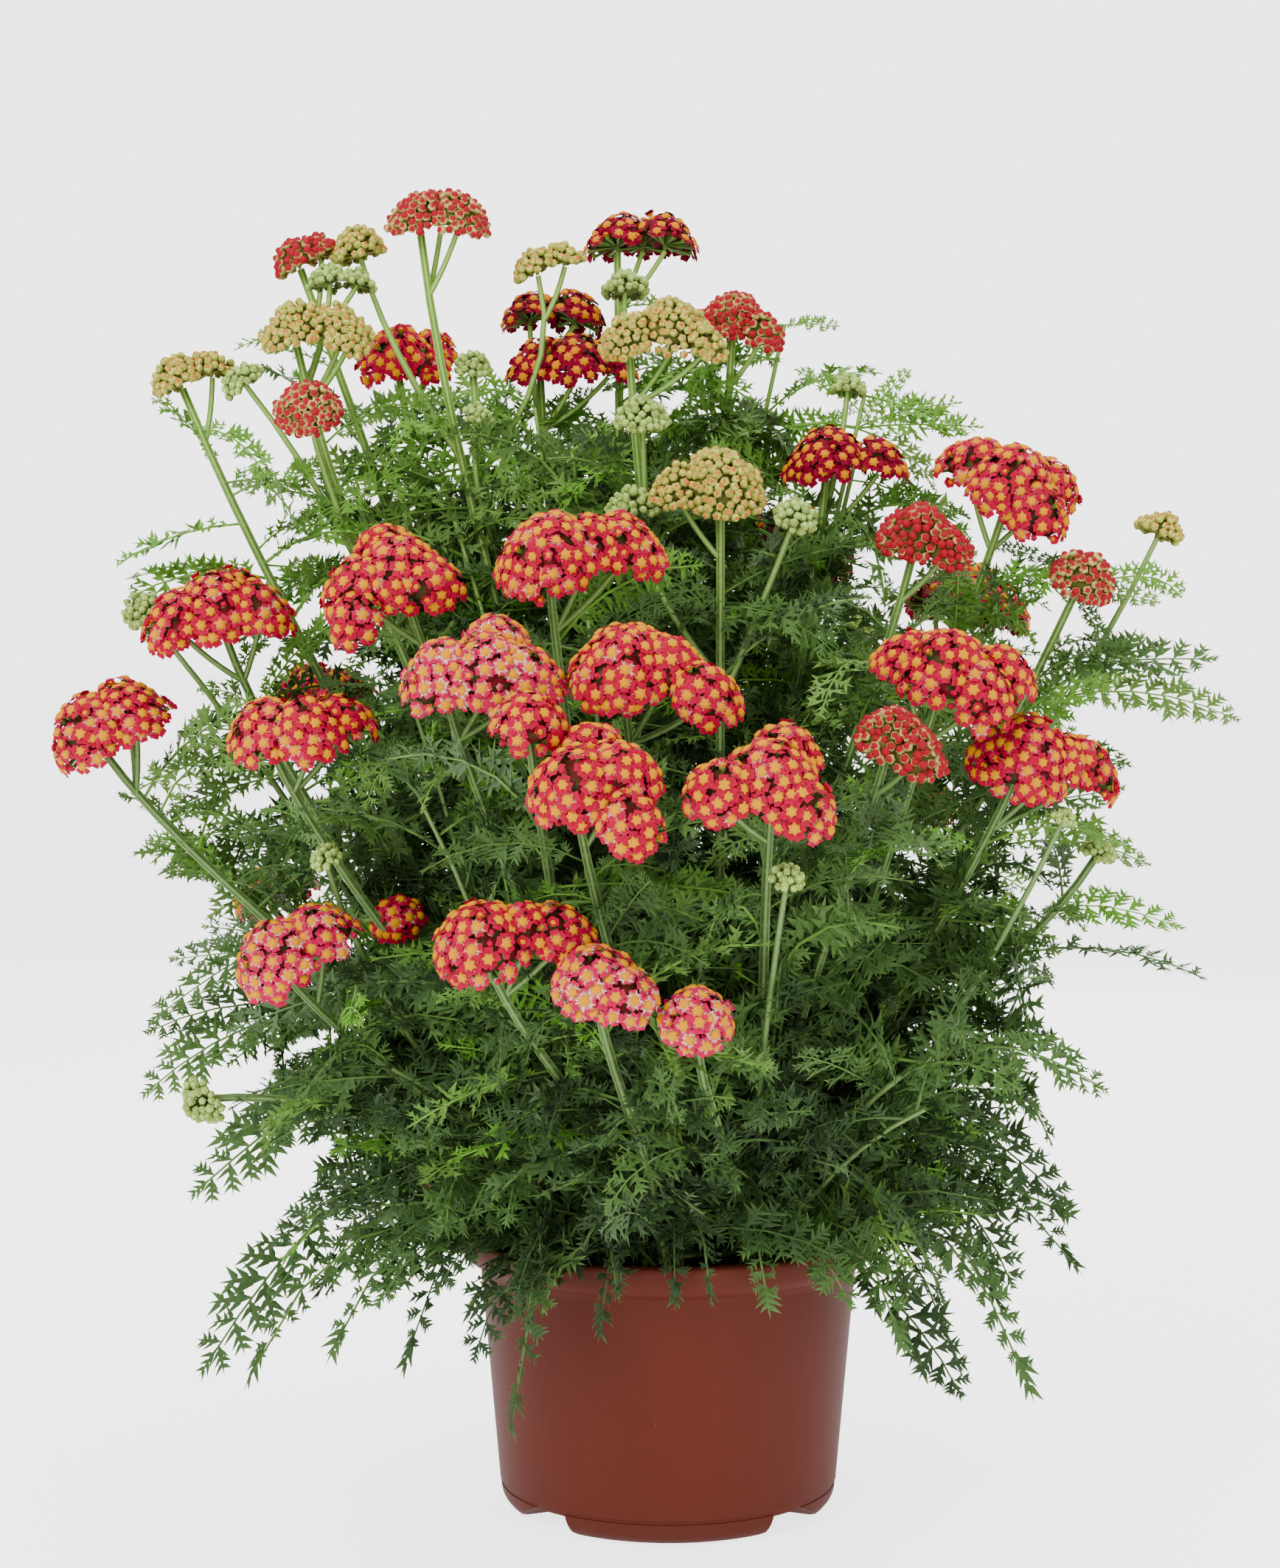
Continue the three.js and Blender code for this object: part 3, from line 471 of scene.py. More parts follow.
# A leaflet with forked side lobes. Its lobes are as wide as width times its own length.
def makeLeaflet(pick, width, sidePairs):
    def placed(length, turn, tilt, at):
        shape = lobeUnit.points * (length, width * (0.7 + 0.3 * length), width)
        shape = shape @ (turnAbout(zAxis, turn) @ turnAbout(yAxis, -tilt)).T + (at, 0, 0)
        start = 0.2 + 0.8 * at
        return lobeUnit.changed(points=shape, along=start + (1 - start) * lobeUnit.along)

    parts = [placed(1, 0, 0, 0)]
    for k in range(sidePairs):
        at = 0.2 + 0.62 * k / sidePairs + pick.uniform(-0.03, 0.03)
        for side in (-1, 1):
            length = (0.56 - 0.26 * at) * pick.uniform(0.8, 1.2)
            parts.append(placed(length, side * pick.uniform(38, 56), pick.uniform(-24, 30), at + 0.03 * side))
    return joinUnits(parts)


# A whole leaf: a tapering rib with pairs of leaflets. halfWidth and rib are shares of its length.
def makeLeafUnit(seed, pairs, halfWidth, rib, lobeWidth, sidePairs, ruffle, lean):
    pick = random.Random(seed)
    rings = [(rib * (1 - 0.5 * i / 5), 0.97 * i / 5) for i in range(6)]
    rod = takeUnit(turnedForm(rings, 3, "rib"),
                   lambda p: (np.sign(p[:, 0] + 0.3 * p[:, 1]), 0.02 + 0.04 * p[:, 2]))
    parts = [laidDown(rod)]
    leaflets = [makeLeaflet(pick, lobeWidth, sidePairs) for _ in range(3)]
    for i in range(pairs):
        t = (i + 0.3) / pairs
        at = 0.1 + 0.84 * t
        long = halfWidth * math.sin(math.pi * (0.14 + 0.76 * t)) ** 0.8 / math.sin(math.radians(lean))
        for side in (-1, 1):
            one = leaflets[pick.randrange(3)]
            turn = turnAbout(zAxis, side * (lean + pick.uniform(-9, 9)))
            turn = turn @ turnAbout(yAxis, -pick.uniform(-0.5, 1) * ruffle)
            turn = turn @ turnAbout(xAxis, pick.uniform(-1, 1) * ruffle)
            shape = one.points * long * pick.uniform(0.85, 1.12) @ turn.T + (at + 0.006 * side, 0, 0)
            parts.append(one.changed(points=shape))
    end = leaflets[0]
    parts.append(end.changed(points=end.points * 0.1 + (0.9, 0, 0)))
    return joinUnits(parts)


leafStyles = {  # seeds, pairs, half width, rib, lobe width, side pairs, ruffle, lean
    "feathery": (range(11, 15), 10, 0.165, 0.0095, 0.088, 3, 32, 60),
    "plumose": (range(21, 25), 14, 0.155, 0.012, 0.108, 2, 48, 60),
    "short": (range(31, 34), 10, 0.175, 0.014, 0.116, 2, 46, 58),
    "frond": (range(41, 44), 18, 0.078, 0.0065, 0.1, 3, 28, 60),
}
leafKinds = {name: [makeLeafUnit(seed, *style) for seed in seeds]
             for name, (seeds, *style) in leafStyles.items()}
print("leaf units made:", {name: len(kinds[0].sizes) for name, kinds in leafKinds.items()}, "faces each")

# Flower units, looking up +Z, in millimetres

floret = {"radius": 4.8, "discRadius": 2.3, "petals": 5, "petalHalf": 41, "notch": 0.09,
          "rows": ((0.2, 0.4), (0.64, 1), (1, 0.56))}


# A petal is a domed sheet: a grid of two by two, with round shoulders and a shallow notch at its tip.
def makePetal(lift, droop):
    piece = added(bpy.ops.mesh.primitive_grid_add, x_subdivisions=2, y_subdivisions=2, size=2)
    for vertex in piece.data.vertices:
        a, b = vertex.co.x, (vertex.co.y + 1) / 2
        reach, wide = floret["rows"][round(2 * b)]
        turn = a * wide * math.radians(floret["petalHalf"])
        out = floret["radius"] * (reach - floret["notch"] * (b > 0.9 and abs(a) < 0.1))
        high = lift * math.sin(math.pi * 0.6 * b) - droop * b * b - 0.35 * abs(a) * wide
        vertex.co = (out * math.cos(turn), out * math.sin(turn), high)
    startEdit()
    endEdit()

    def mapping(p):
        turn = np.degrees(np.arctan2(p[:, 1], p[:, 0])) / floret["petalHalf"]
        return np.clip(turn, -1, 1), np.clip(np.hypot(p[:, 0], p[:, 1]) / floret["radius"], 0, 1)

    return takeUnit(piece, mapping)


# Five petals, each a little different.
def makeCorolla(seed, lift, droop, spread):
    pick = random.Random(seed)
    flat = makePetal(lift, droop)
    parts = []
    for k in range(floret["petals"]):
        turn = turnAbout(zAxis, 360 / floret["petals"] * k + pick.uniform(-5, 5))
        turn = turn @ turnAbout(yAxis, -spread + pick.uniform(-12, 10))
        turn = turn @ turnAbout(xAxis, pick.uniform(-12, 12))
        shape = flat.points * pick.uniform(0.88, 1.06) @ turn.T + (0, 0, 0.12 * (k % 2))
        parts.append(flat.changed(points=shape))
    return joinUnits(parts)


# The disc is a low star-edged cushion.
def makeDisc(seed):
    pick = random.Random(seed)
    r = floret["discRadius"]
    piece = openEnds(turnedForm([(r, 0.6), (0.6 * r, 1.6)], 12, "disc"), False)
    for vertex in piece.data.vertices:
        if vertex.co.z < 1:
            column = round((math.degrees(math.atan2(vertex.co.y, vertex.co.x)) - 90) / 30)
            vertex.co.xy *= 1.16 * pick.uniform(0.9, 1.1) if column % 2 else 0.78
        else:
            vertex.co.z += pick.uniform(-0.22, 0.22)
    return takeUnit(piece, lambda p: (waves(p, 2), 1 - np.hypot(p[:, 0], p[:, 1]) / (1.35 * r)))


# The flower's cup with the start of its stalk, which is drawn out later.
def makeCup():
    piece = openEnds(turnedForm([(0.42, -1), (1.25, 0.9), (1.4, 2.6)], 4, "cup"), True)
    return takeUnit(piece, lambda p: (waves(p, 2), np.clip(p[:, 2] / 2.6, 0, 1)))


def makeBudUnit(rings, sides):
    piece = openEnds(turnedForm(rings, sides, "bud"), False)
    top = max(height for _, height in rings)
    return takeUnit(piece, lambda p: (waves(p, 3, 2.2 * p[:, 2]), np.clip(p[:, 2] / top, 0, 1)))


corollas = [makeCorolla(50 + k, 0.75, 1.1, 4) for k in range(4)]
cupped = [makeCorolla(60 + k, 0.9, 0.2, 38) for k in range(2)]
discs = [makeDisc(70 + k) for k in range(3)]
cup = makeCup()
budUnit = makeBudUnit([(0.6, 0), (1.75, 1.0), (2.0, 2.4), (0.8, 4.1)], 5)
print("flower units made:", len(corollas[0].sizes), "faces a corolla,", len(budUnit.sizes), "a bud")

# Copies of units, gathered into one mesh for each piece


class Bunch:
    def __init__(self):
        self.copies = []

    # A copy takes its colours from a cell of its kind's window, or by a tone from 0 to 1.
    def add(self, unit, points, kind=None, cell=0, tone=0.5, along=None):
        if kind:
            low, high = windows[kind]
            u = low + (high - low) * (cell + 0.5 + (0.5 - margin) * unit.across) / cells[kind]
        else:
            u = 0.02 + 0.96 * tone + 0.006 * unit.across
        v = 0.02 + 0.96 * (unit.along if along is None else along)
        self.copies.append((points, np.stack([u, v], 1), unit, materialPlaces.get(kind, 0)))

    def makePiece(self, name, materials):
        places, maps, units, finishes = zip(*self.copies)
        points = np.vstack(places) * metre
        corners = shiftedCorners(units, np.cumsum([0] + [len(own) for own in places[:-1]]))
        sizes = np.concatenate([one.sizes for one in units])
        finishes = np.concatenate([np.full(len(one.sizes), finish) for one, finish in zip(units, finishes)])
        mesh = bpy.data.meshes.new(name)
        mesh.vertices.add(len(points))
        mesh.vertices.foreach_set("co", points.ravel())
        mesh.loops.add(len(corners))
        mesh.loops.foreach_set("vertex_index", corners)
        mesh.polygons.add(len(sizes))
        mesh.polygons.foreach_set("loop_start", np.cumsum(sizes) - sizes)
        for material in materials:
            mesh.materials.append(material)
        mesh.polygons.foreach_set("material_index", finishes)
        layer = mesh.uv_layers.new(name="OFBake")
        layer.uv.foreach_set("vector", np.vstack(maps)[corners].ravel())
        mesh.update(calc_edges=True)
        mesh.shade_smooth()
        piece = bpy.data.objects.new(name, mesh)
        bpy.context.collection.objects.link(piece)
        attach(piece, "root")
        return piece


# The plan, in millimetres: +Z up, -Y towards the camera

metre = 0.001

ring = ("front", "frontRight", "right", "rightBack", "backRight", "back", "backLeft", "left", "frontLeft")
crowns = {name: ((270 + 40 * k) % 360, 56) for k, name in enumerate(ring)}  # azimuth, distance from the axis
crowns.update(innerFrontLeft=(235, 25), innerFrontRight=(315, 25), innerBackRight=(45, 25),
              innerBackLeft=(140, 25))


# A head: stage, middle of its rim, lean (azimuth, degrees) and its domes [right, back, radius].
def head(stage, at, lean, domes):
    return {"stage": stage, "at": at, "lean": lean, "domes": domes}


# A stem rises from a crown to its first head. Further heads stand on branches of it.
def stem(crown, *heads):
    return {"crown": crown, "heads": heads}


stems = [
    # tall stems at the back left
    stem("innerBackLeft", head("bud", [-105, 0, 592], [270, 14], [[-8, -2, 14], [9, -4, 14], [1, 9, 12]]),
         head("young", [-144, 25, 580], [180, 15], [[0, 0, 12]])),
    stem("backLeft", head("bud", [-170, 25, 576], [190, 25], [[-3, -2, 11], [7, 4, 10]])),
    stem("innerBackLeft", head("young", [-158, -20, 538], [270, 22],
                               [[-10, 3, 15], [10, 2, 14], [14, -10, 9]]),
         head("green", [-150, 8, 563], [90, 10], [[-5, 0, 9], [7, 2, 8]]),
         head("green", [-193, -14, 515], [200, 40], [[0, 0, 9]]),
         head("bud", [-160, -42, 501], [265, 45], [[0, 0, 14]])),
    stem("left", head("young", [-219, 0, 520], [190, 20], [[-5, -2, 12], [9, 3, 10]])),
    stem("innerBackLeft", head("open", [-124, 48, 533], [270, 35], [[-4, 0, 16], [10, -7, 10], [13, 9, 10]]),
         head("young", [-56, 20, 573], [200, 18], [[-6, -1, 10], [7, 2, 9]])),
    stem("innerBackLeft", head("green", [-90, 15, 524], [290, 15], [[0, 0, 8]]),
         head("green", [-86, -6, 500], [300, 30], [[0, 0, 6]])),
    # tall stems at the back middle
    stem("back", head("dark", [-12, 90, 594], [90, 8], [[-12, 0, 14], [11, -1, 14], [0, 7, 12]]),
         head("green", [-20, 62, 566], [80, 10], [[0, 0, 10]])),
    stem("innerBackLeft", head("dark", [-46, 42, 530], [270, 14], [[-14, 2, 14], [3, -4, 15], [18, 3, 12]]),
         head("dark", [-55, 76, 556], [100, 6], [[-11, 0, 12], [10, 0, 13]])),
    stem("innerBackRight", head("young", [-4, -14, 538], [268, 24],
                                [[-14, -3, 13], [6, 2, 18], [20, -7, 10]]),
         head("green", [-12, -28, 498], [265, 22], [[0, 0, 11]])),
    stem("innerBackRight", head("bud", [31, 32, 548], [280, 28], [[0, 2, 15], [13, -8, 10]])),
    # middle and right, upper half
    stem("innerFrontRight", head("young", [18, -62, 468], [268, 30],
                                 [[4, -3, 18], [-15, -2, 11], [2, 14, 12]]),
         head("green", [-16, -40, 458], [250, 15], [[0, 0, 10]]),
         head("green", [55, -66, 452], [300, 35], [[0, 0, 9]])),
    stem("innerBackRight", head("dark", [80, 0, 482], [270, 12], [[-8, 0, 17], [16, 2, 12]]),
         head("green", [84, 32, 516], [60, 10], [[0, 0, 8]])),
    stem("rightBack", head("open", [156, -20, 470], [285, 45],
                           [[0, 0, 19], [-18, 14, 14], [19, 8, 12], [11, -14, 13]])),
    stem("innerFrontRight", head("bud", [110, -66, 444], [280, 35], [[-2, 2, 16], [10, -6, 11]])),
    stem("right", head("bud", [186, -30, 427], [300, 40], [[0, 0, 14]]),
         head("young", [225, -4, 449], [0, 25], [[0, 0, 10]])),
    # left side, upper half
    stem("left", head("open", [-200, -46, 414], [265, 32],
                      [[0, 0, 18], [-18, -5, 14], [18, 0, 14], [4, 18, 13]]),
         head("green", [-238, -18, 411], [200, 40], [[0, 0, 9]])),
    stem("innerFrontLeft", head("open", [-120, -92, 428], [262, 45],
                                [[4, 0, 18], [-14, -6, 14], [-3, 19, 12], [17, -6, 12], [-16, -20, 10]])),
    stem("innerFrontLeft", head("open", [-42, -108, 438], [268, 40],
                                [[-10, -2, 20], [8, 3, 13], [23, 7, 15]])),
    # front, middle height
    stem("innerFrontLeft", head("open", [-80, -146, 388], [262, 42],
                                [[-15, 0, 16], [5, -2, 17], [21, -4, 13], [8, 20, 12]])),
    stem("innerFrontRight", head("open", [-12, -152, 388], [270, 42],
                                 [[-8, 2, 20], [10, 2, 14], [26, -9, 13]])),
    stem("frontLeft", head("open", [-58, -176, 366], [265, 40], [[0, 0, 13]])),
    stem("front", head("open", [-32, -190, 344], [268, 46],
                       [[-7, -2, 17], [11, 3, 15], [-1, 20, 12], [15, -19, 11]])),
    stem("frontRight", head("open", [34, -188, 346], [275, 46],
                            [[6, -1, 17], [-15, -8, 12], [12, 18, 12], [18, -12, 12]])),
    # right side
    stem("right", head("open", [118, -108, 387], [280, 42],
                       [[-2, 0, 19], [-18, 8, 12], [13, -11, 14], [27, 10, 12]])),
    stem("frontRight", head("bud", [94, -142, 357], [285, 40], [[-3, 3, 14], [7, -5, 12]]),
         head("green", [46, -176, 303], [280, 35], [[0, 0, 6]])),
    stem("right", head("open", [152, -88, 350], [285, 40], [[0, 0, 21], [17, 4, 13], [32, 11, 14]]),
         head("green", [168, -96, 322], [310, 30], [[0, 0, 5]])),
    stem("rightBack", head("green", [190, -52, 305], [320, 25], [[0, 0, 7]])),
    # left side
    stem("left", head("open", [-250, -46, 364], [240, 38], [[-8, -3, 18], [11, 0, 15], [6, 14, 12]])),
    stem("frontLeft", head("open", [-162, -108, 363], [255, 34], [[-10, 0, 15], [9, -4, 15], [22, 6, 12]]),
         head("green", [-146, -112, 306], [260, 40], [[0, 0, 6]])),
    # front, low
    stem("frontLeft", head("open", [-160, -120, 270], [245, 40], [[-7, -2, 17], [12, 7, 14]])),
    stem("innerFrontLeft", head("open", [-120, -66, 277], [255, 40], [[0, 0, 10]])),
    stem("front", head("open", [-74, -188, 280], [262, 42], [[-2, 0, 18], [16, 6, 12], [29, 8, 13]])),
    stem("front", head("open", [-28, -200, 264], [268, 46], [[-3, 2, 15], [8, -5, 12]])),
    stem("frontRight", head("open", [9, -198, 250], [272, 44], [[0, 0, 13]])),
    stem("frontLeft", head("green", [-204, -74, 196], [215, 120], [[0, 0, 10]])),
    # back
    stem("rightBack", head("open", [150, 92, 420], [40, 30], [[-2, 0, 19], [16, -8, 13], [-14, 13, 13]])),
    stem("backRight", head("open", [66, 146, 452], [75, 34], [[0, 0, 20], [-20, 4, 14], [17, 10, 12]]),
         head("green", [96, 138, 402], [50, 30], [[0, 0, 9]])),
    stem("backRight", head("open", [118, 160, 322], [60, 38], [[0, 0, 18], [18, -6, 13]])),
    stem("back", head("bud", [6, 176, 392], [90, 34], [[-4, 0, 15], [11, 5, 12]]),
         head("green", [30, 150, 430], [80, 20], [[0, 0, 8]])),
    stem("back", head("open", [-16, 196, 300], [95, 42], [[-3, 2, 17], [14, -6, 13]])),
    stem("backLeft", head("open", [-110, 142, 440], [120, 32], [[0, 0, 19], [-17, -8, 13], [12, 14, 12]]),
         head("green", [-70, 152, 404], [105, 30], [[0, 0, 11]])),
    stem("backLeft", head("open", [-176, 96, 372], [145, 36], [[0, 0, 18], [14, 12, 13]])),
    stem("left", head("open", [-196, 70, 276], [150, 40], [[0, 0, 15], [12, 8, 11]])),
]

# Open heads that have faded to pink, by their places.
pinkHeads = [[-28, -200, 264], [9, -198, 250], [-160, -120, 270], [-80, -146, 388], [118, 160, 322],
             [-196, 70, 276]]

# Leafy shoots with no head: crown and the tip's place.
shoots = [
    ["right", [160, -36, 258]],
    ["right", [178, -14, 372]],
    ["rightBack", [156, 44, 300]],
    ["frontRight", [118, -112, 226]],
    ["backRight", [82, 112, 246]],
    ["back", [-60, 120, 330]],
    ["backLeft", [-118, 86, 268]],
    ["left", [-158, -14, 230]],
    ["left", [-156, 4, 300]],
    ["frontLeft", [-120, -92, 214]],
]

# Fronds that arch from a crown over the rim: crown, azimuth, reach, lowest height of the tip.
fronds = [
    ["frontLeft", 206, 206, 72],
    ["frontLeft", 222, 150, 62],
    ["front", 247, 128, 96],
    ["front", 262, 122, 108],
    ["frontRight", 284, 124, 104],
    ["frontRight", 312, 150, 92],
    ["right", 336, 176, 62],
    ["right", 354, 190, 108],
    ["rightBack", 18, 170, 84],
    ["backRight", 52, 156, 76],
    ["backRight", 84, 150, 100],
    ["back", 112, 164, 70],
    ["backLeft", 140, 158, 96],
    ["left", 168, 172, 82],
    ["left", 190, 182, 118],
]

up = np.array([0.0, 0.0, 1.0])
soilTop = 113
pot = {"height": 127, "rimRadius": 95, "bandStep": 7, "bandHeight": 13, "baseRadius": 77.5, "wall": 2,
       "floor": 9}
crownSize = {"footDistance": 5, "footTurn": 130}
stemSize = {"stout": 1.15, "foot": 2.5, "tip": 1.6, "branch": 1.1, "leaving": 0.35, "arriving": 0.3,
            "sink": 1.5, "gap": 0.35, "buried": 6, "forkDrop": 8, "branchRise": 1.4, "branchStart": 20}
dome = {"height": 0.7, "roundness": 2.2, "droop": 0.009, "under": 0.5}
leafSize = {"pairs": 5, "width": 0.15, "lengths": (104, 62), "variation": (0.9, 1.1), "rise": (20, 45),
            "bend": (10, 45), "turns": (0, 24, -24, 48, -48, 76, -76, 110)}
tipLeaf = {"rise": 12, "bend": 40, "length": 84, "halfWidth": 13}
frond = {"pairs": 7, "halfWidth": 14, "crest": 0.74, "crestHeight": 62, "turns": (0, 7, -7, 14, -14, 21, -21)}
foliage = {"perStem": 2, "lowest": 0.12, "highest": 0.86, "shootHighest": 0.9, "step": 0.618}
goldenTurn = 137.5
plantTop = 610
room = {"others": 5.5, "own": 4.5, "pot": 2.5, "nearRoot": 22}


def vec(*values):
    return np.array(values, float)


def unit(v):
    return v / np.linalg.norm(v)


def lerp(a, b, t):
    return (1 - t) * a + t * b


def onCompass(azimuth, distance, z):
    a = math.radians(azimuth)
    return vec(distance * math.cos(a), distance * math.sin(a), z)


def far(a, b):
    return float(np.linalg.norm(a - b))


# A fixed sequence of numbers from 0 to 1.
def sequence(seed):
    state = seed
    while True:
        state = (state * 1664525 + 1013904223) % 4294967296
        yield state / 4294967296


def innerRadius(z):
    t = (z - pot["floor"]) / (pot["height"] - pot["floor"])
    return lerp(pot["baseRadius"], pot["rimRadius"] - pot["bandStep"], t) - pot["wall"]


def crownPlace(name):
    azimuth, distance = crowns[name]
    return onCompass(azimuth, distance, soilTop)


# The shortest turn that takes +Z to an axis.
def turnTo(axis):
    x, y, _ = np.cross(up, axis)
    cross = np.array([[0, 0, y], [0, 0, -x], [-y, x, 0]])
    return np.eye(3) + cross + cross @ cross / (1 + axis[2])


def headFrame(plan):
    azimuth, tilt = plan["lean"]
    axis = onCompass(azimuth, math.sin(math.radians(tilt)), math.cos(math.radians(tilt)))
    return vec(*plan["at"]), turnTo(axis), axis


# The top of a head over a point of its own plane.
def headHeight(domes, x, y):
    heights = []
    for right, back, radius in domes:
        out = np.minimum(1, np.hypot(x - right, y - back) / radius)
        heights.append(dome["height"] * radius * (1 - out ** dome["roundness"]))
    return np.max(heights, axis=0) - dome["droop"] * (x * x + y * y)


def seatPoint(one):
    right, back, radius = one
    return vec(right, back, -radius * dome["under"] - dome["droop"] * (right * right + back * back))


def seatsOf(plan):
    origin, turn, axis = headFrame(plan)
    lift = vec(0, 0, stemSize["sink"] if plan["stage"] == "green" else -stemSize["gap"])
    return [turn @ (seatPoint(one) + lift) + origin for one in plan["domes"]], axis


def bezier(points, count):
    t = np.linspace(0, 1, count + 1)[:, None]
    last = len(points) - 1
    return sum(math.comb(last, k) * t ** k * (1 - t) ** (last - k) * p for k, p in enumerate(points))


def stemCurve(foot, plan):
    seats, axis = seatsOf(plan)
    end = seats[0]
    length = far(foot, end)
    straight = unit(end - foot)
    leaving = foot + unit(straight + up) * stemSize["leaving"] * length
    arriving = end - unit(straight + axis) * stemSize["arriving"] * length
    return [foot, leaving, arriving, end]


def sideCurve(main, plan):
    seats, axis = seatsOf(plan)
    end = seats[0]
    start = main[2]
    for p in main:
        if end[2] - p[2] > stemSize["branchRise"] * math.hypot(*(end - p)[:2]) + stemSize["branchStart"]:
            start = p
    return [start, end - axis * 0.4 * far(start, end), end]


# A leaf's rib from its root: azimuth, first rise and how far it bends down by its tip.
def ribOf(root, azimuth, rise, bend, step, count):
    points = [root]
    for i in range(count):
        slope = math.radians(rise - bend * (i + 0.5) / count)
        points.append(points[-1] + onCompass(azimuth, step * math.cos(slope), step * math.sin(slope)))
    return np.array(points)


# The line of a shoot: how far along it bends, and how high over the straight line.
def shootLine(foot, tip, share, lift):
    middle = lerp(foot, tip, share) + vec(0, 0, lift * far(foot, tip))
    return bezier([foot, middle, tip], 40)


def leafSpots(rib, halfWidth):
    pairs = len(rib) - 1
    spots = list(rib[1:])
    sides = []
    for i, p in enumerate(rib):
        along = unit(rib[min(i + 1, pairs)] - rib[max(i - 1, 0)])
        side = unit(np.cross(along, up))
        sides.append((along, side, np.cross(side, along)))
    spots.append(rib[pairs] + sides[pairs][0] * 0.5 * halfWidth)
    for i in range(1, pairs):
        along, side, normal = sides[i]
        wide = halfWidth * math.sin(math.pi * (0.12 + 0.8 * (i + 0.5) / pairs)) ** 0.8
        middle = (rib[i] + rib[i + 1]) * 0.5 + along * 0.35 * wide - normal * 0.12 * wide
        for tip in (middle - side * wide, middle + side * wide):
            spots += [tip, (tip + rib[i]) * 0.5]
    return np.array(spots)


taken = {"points": [], "radii": [], "owners": []}


def take(points, radius, owner):
    for p in points:
        taken["points"].append(p)
        taken["radii"].append(radius)
        taken["owners"].append(owner)


def offPot(spots):
    out = np.hypot(spots[:, 0], spots[:, 1])
    z = spots[:, 2]
    inMouth = (out < innerRadius(pot["height"]) - room["pot"]) & (z > soilTop + room["pot"])
    outside = (out > pot["rimRadius"] + room["pot"]) | (z > pot["height"] + room["pot"])
    return (z > 2 * room["pot"]) & (inMouth | outside)


# A leaf's spots touch nothing but its own stem near its root.
def isClear(spots, root, owner):
    near = np.linalg.norm(spots - root, axis=1) < room["nearRoot"]
    if not np.all(near | offPot(spots)):
        return False
    own = np.array([name == owner for name in taken["owners"]])
    reach = np.array(taken["radii"]) + np.where(own, room["own"], room["others"])
    gaps = np.linalg.norm(spots[:, None] - np.array(taken["points"])[None], axis=2)
    return bool(np.all((near[:, None] & own[None]) | (gaps > reach[None])))


# Growing the plan: stems and their heads, shoots, fronds and leaves

headPlans = []
stemLines = []  # points, radius at the foot and at the tip, crown
leafRoots = []  # crown, line that leaves grow from and how far up it they grow
grownLeaves = []  # crown, finely divided rib, azimuth, half width, kind and for some a roll
feet = {}
finer = 16


def nextFoot(name):
    feet[name] = feet.get(name, -1) + 1
    return crownPlace(name) + onCompass(crownSize["footTurn"] * feet[name], crownSize["footDistance"], 0)


def takeHead(plan):
    origin, turn, _ = headFrame(plan)
    for right, back, radius in plan["domes"]:
        for out in (0, 0.5, 0.9):
            for k in range(8 if out else 1):
                x, y, _ = onCompass(45 * k, out * radius, 0) + vec(right, back, 0)
                z = headHeight(plan["domes"], x, y) - radius / 4
                take([turn @ vec(x, y, z) + origin], radius / 3, "a head")


def growHead(plan, name, line):
    seats, axis = seatsOf(plan)
    drop = plan["domes"][0][2] + stemSize["forkDrop"]
    below = [p for p in line if far(p, seats[0]) > drop]
    fork = below[-1] if below else line[0]
    for seat in seats[1:3]:
        bowed = bezier([fork, lerp(fork, seat, 0.55) - axis * 0.12 * far(fork, seat), seat], 8)
        stemLines.append((bowed, stemSize["branch"] * 1.1, stemSize["branch"], name))
    takeHead(plan)
    headPlans.append({**plan, "crown": name})


for plan in stems:
    name, (first, *others) = plan["crown"], plan["heads"]
    fine = bezier(stemCurve(nextFoot(name), first), 60)
    stemLines.append((fine, stemSize["foot"], stemSize["tip"], name))
    take(fine, stemSize["foot"], name)
    growHead(first, name, fine)
    for other in others:
        side = bezier(sideCurve(fine, other), 16)
        stemLines.append((side, stemSize["tip"], stemSize["branch"], name))
        take(side, stemSize["tip"], name)
        growHead(other, name, side)
    leafRoots.append((name, fine, foliage["highest"]))

for name, tip in shoots:
    fine = shootLine(nextFoot(name), vec(*tip), 0.4, 0.25)
    stemLines.append((fine, stemSize["tip"] * 1.1, stemSize["branch"], name))
    take(fine, stemSize["tip"], name)
    leafRoots.append((name, fine, foliage["shootHighest"]))


def growLeaf(name, root, azimuth, rise, bend, length, halfWidth):
    for turn in leafSize["turns"]:
        pairs = leafSize["pairs"]
        spots = leafSpots(ribOf(root, azimuth + turn, rise, bend, length / (pairs + 0.5), pairs), halfWidth)
        if isClear(spots, root, name):
            take(spots, 0, name)
            rib = ribOf(root, azimuth + turn, rise, bend, length / finer, finer)
            grownLeaves.append((name, rib, azimuth + turn, halfWidth, "feathery"))
            return


for name, azimuth, reach, low in fronds:
    root = crownPlace(name)
    for turn in frond["turns"]:
        over = onCompass(azimuth + turn, frond["crest"] * reach, pot["height"] + frond["crestHeight"])
        spine = [root, over, onCompass(azimuth + turn, reach, low)]
        spots = leafSpots(bezier(spine, frond["pairs"]), frond["halfWidth"])
        if isClear(spots, root, name):
            take(spots, 0, name)
            grownLeaves.append((name, bezier(spine, 30), azimuth + turn, frond["halfWidth"], "frond"))
            break

for name, tip in shoots:
    root = vec(*tip)
    growLeaf(name, root, math.degrees(math.atan2(root[1], root[0])), tipLeaf["rise"], tipLeaf["bend"],
             tipLeaf["length"], tipLeaf["halfWidth"])

leafDraws = sequence(20240)


def between(span):
    return lerp(*span, next(leafDraws))


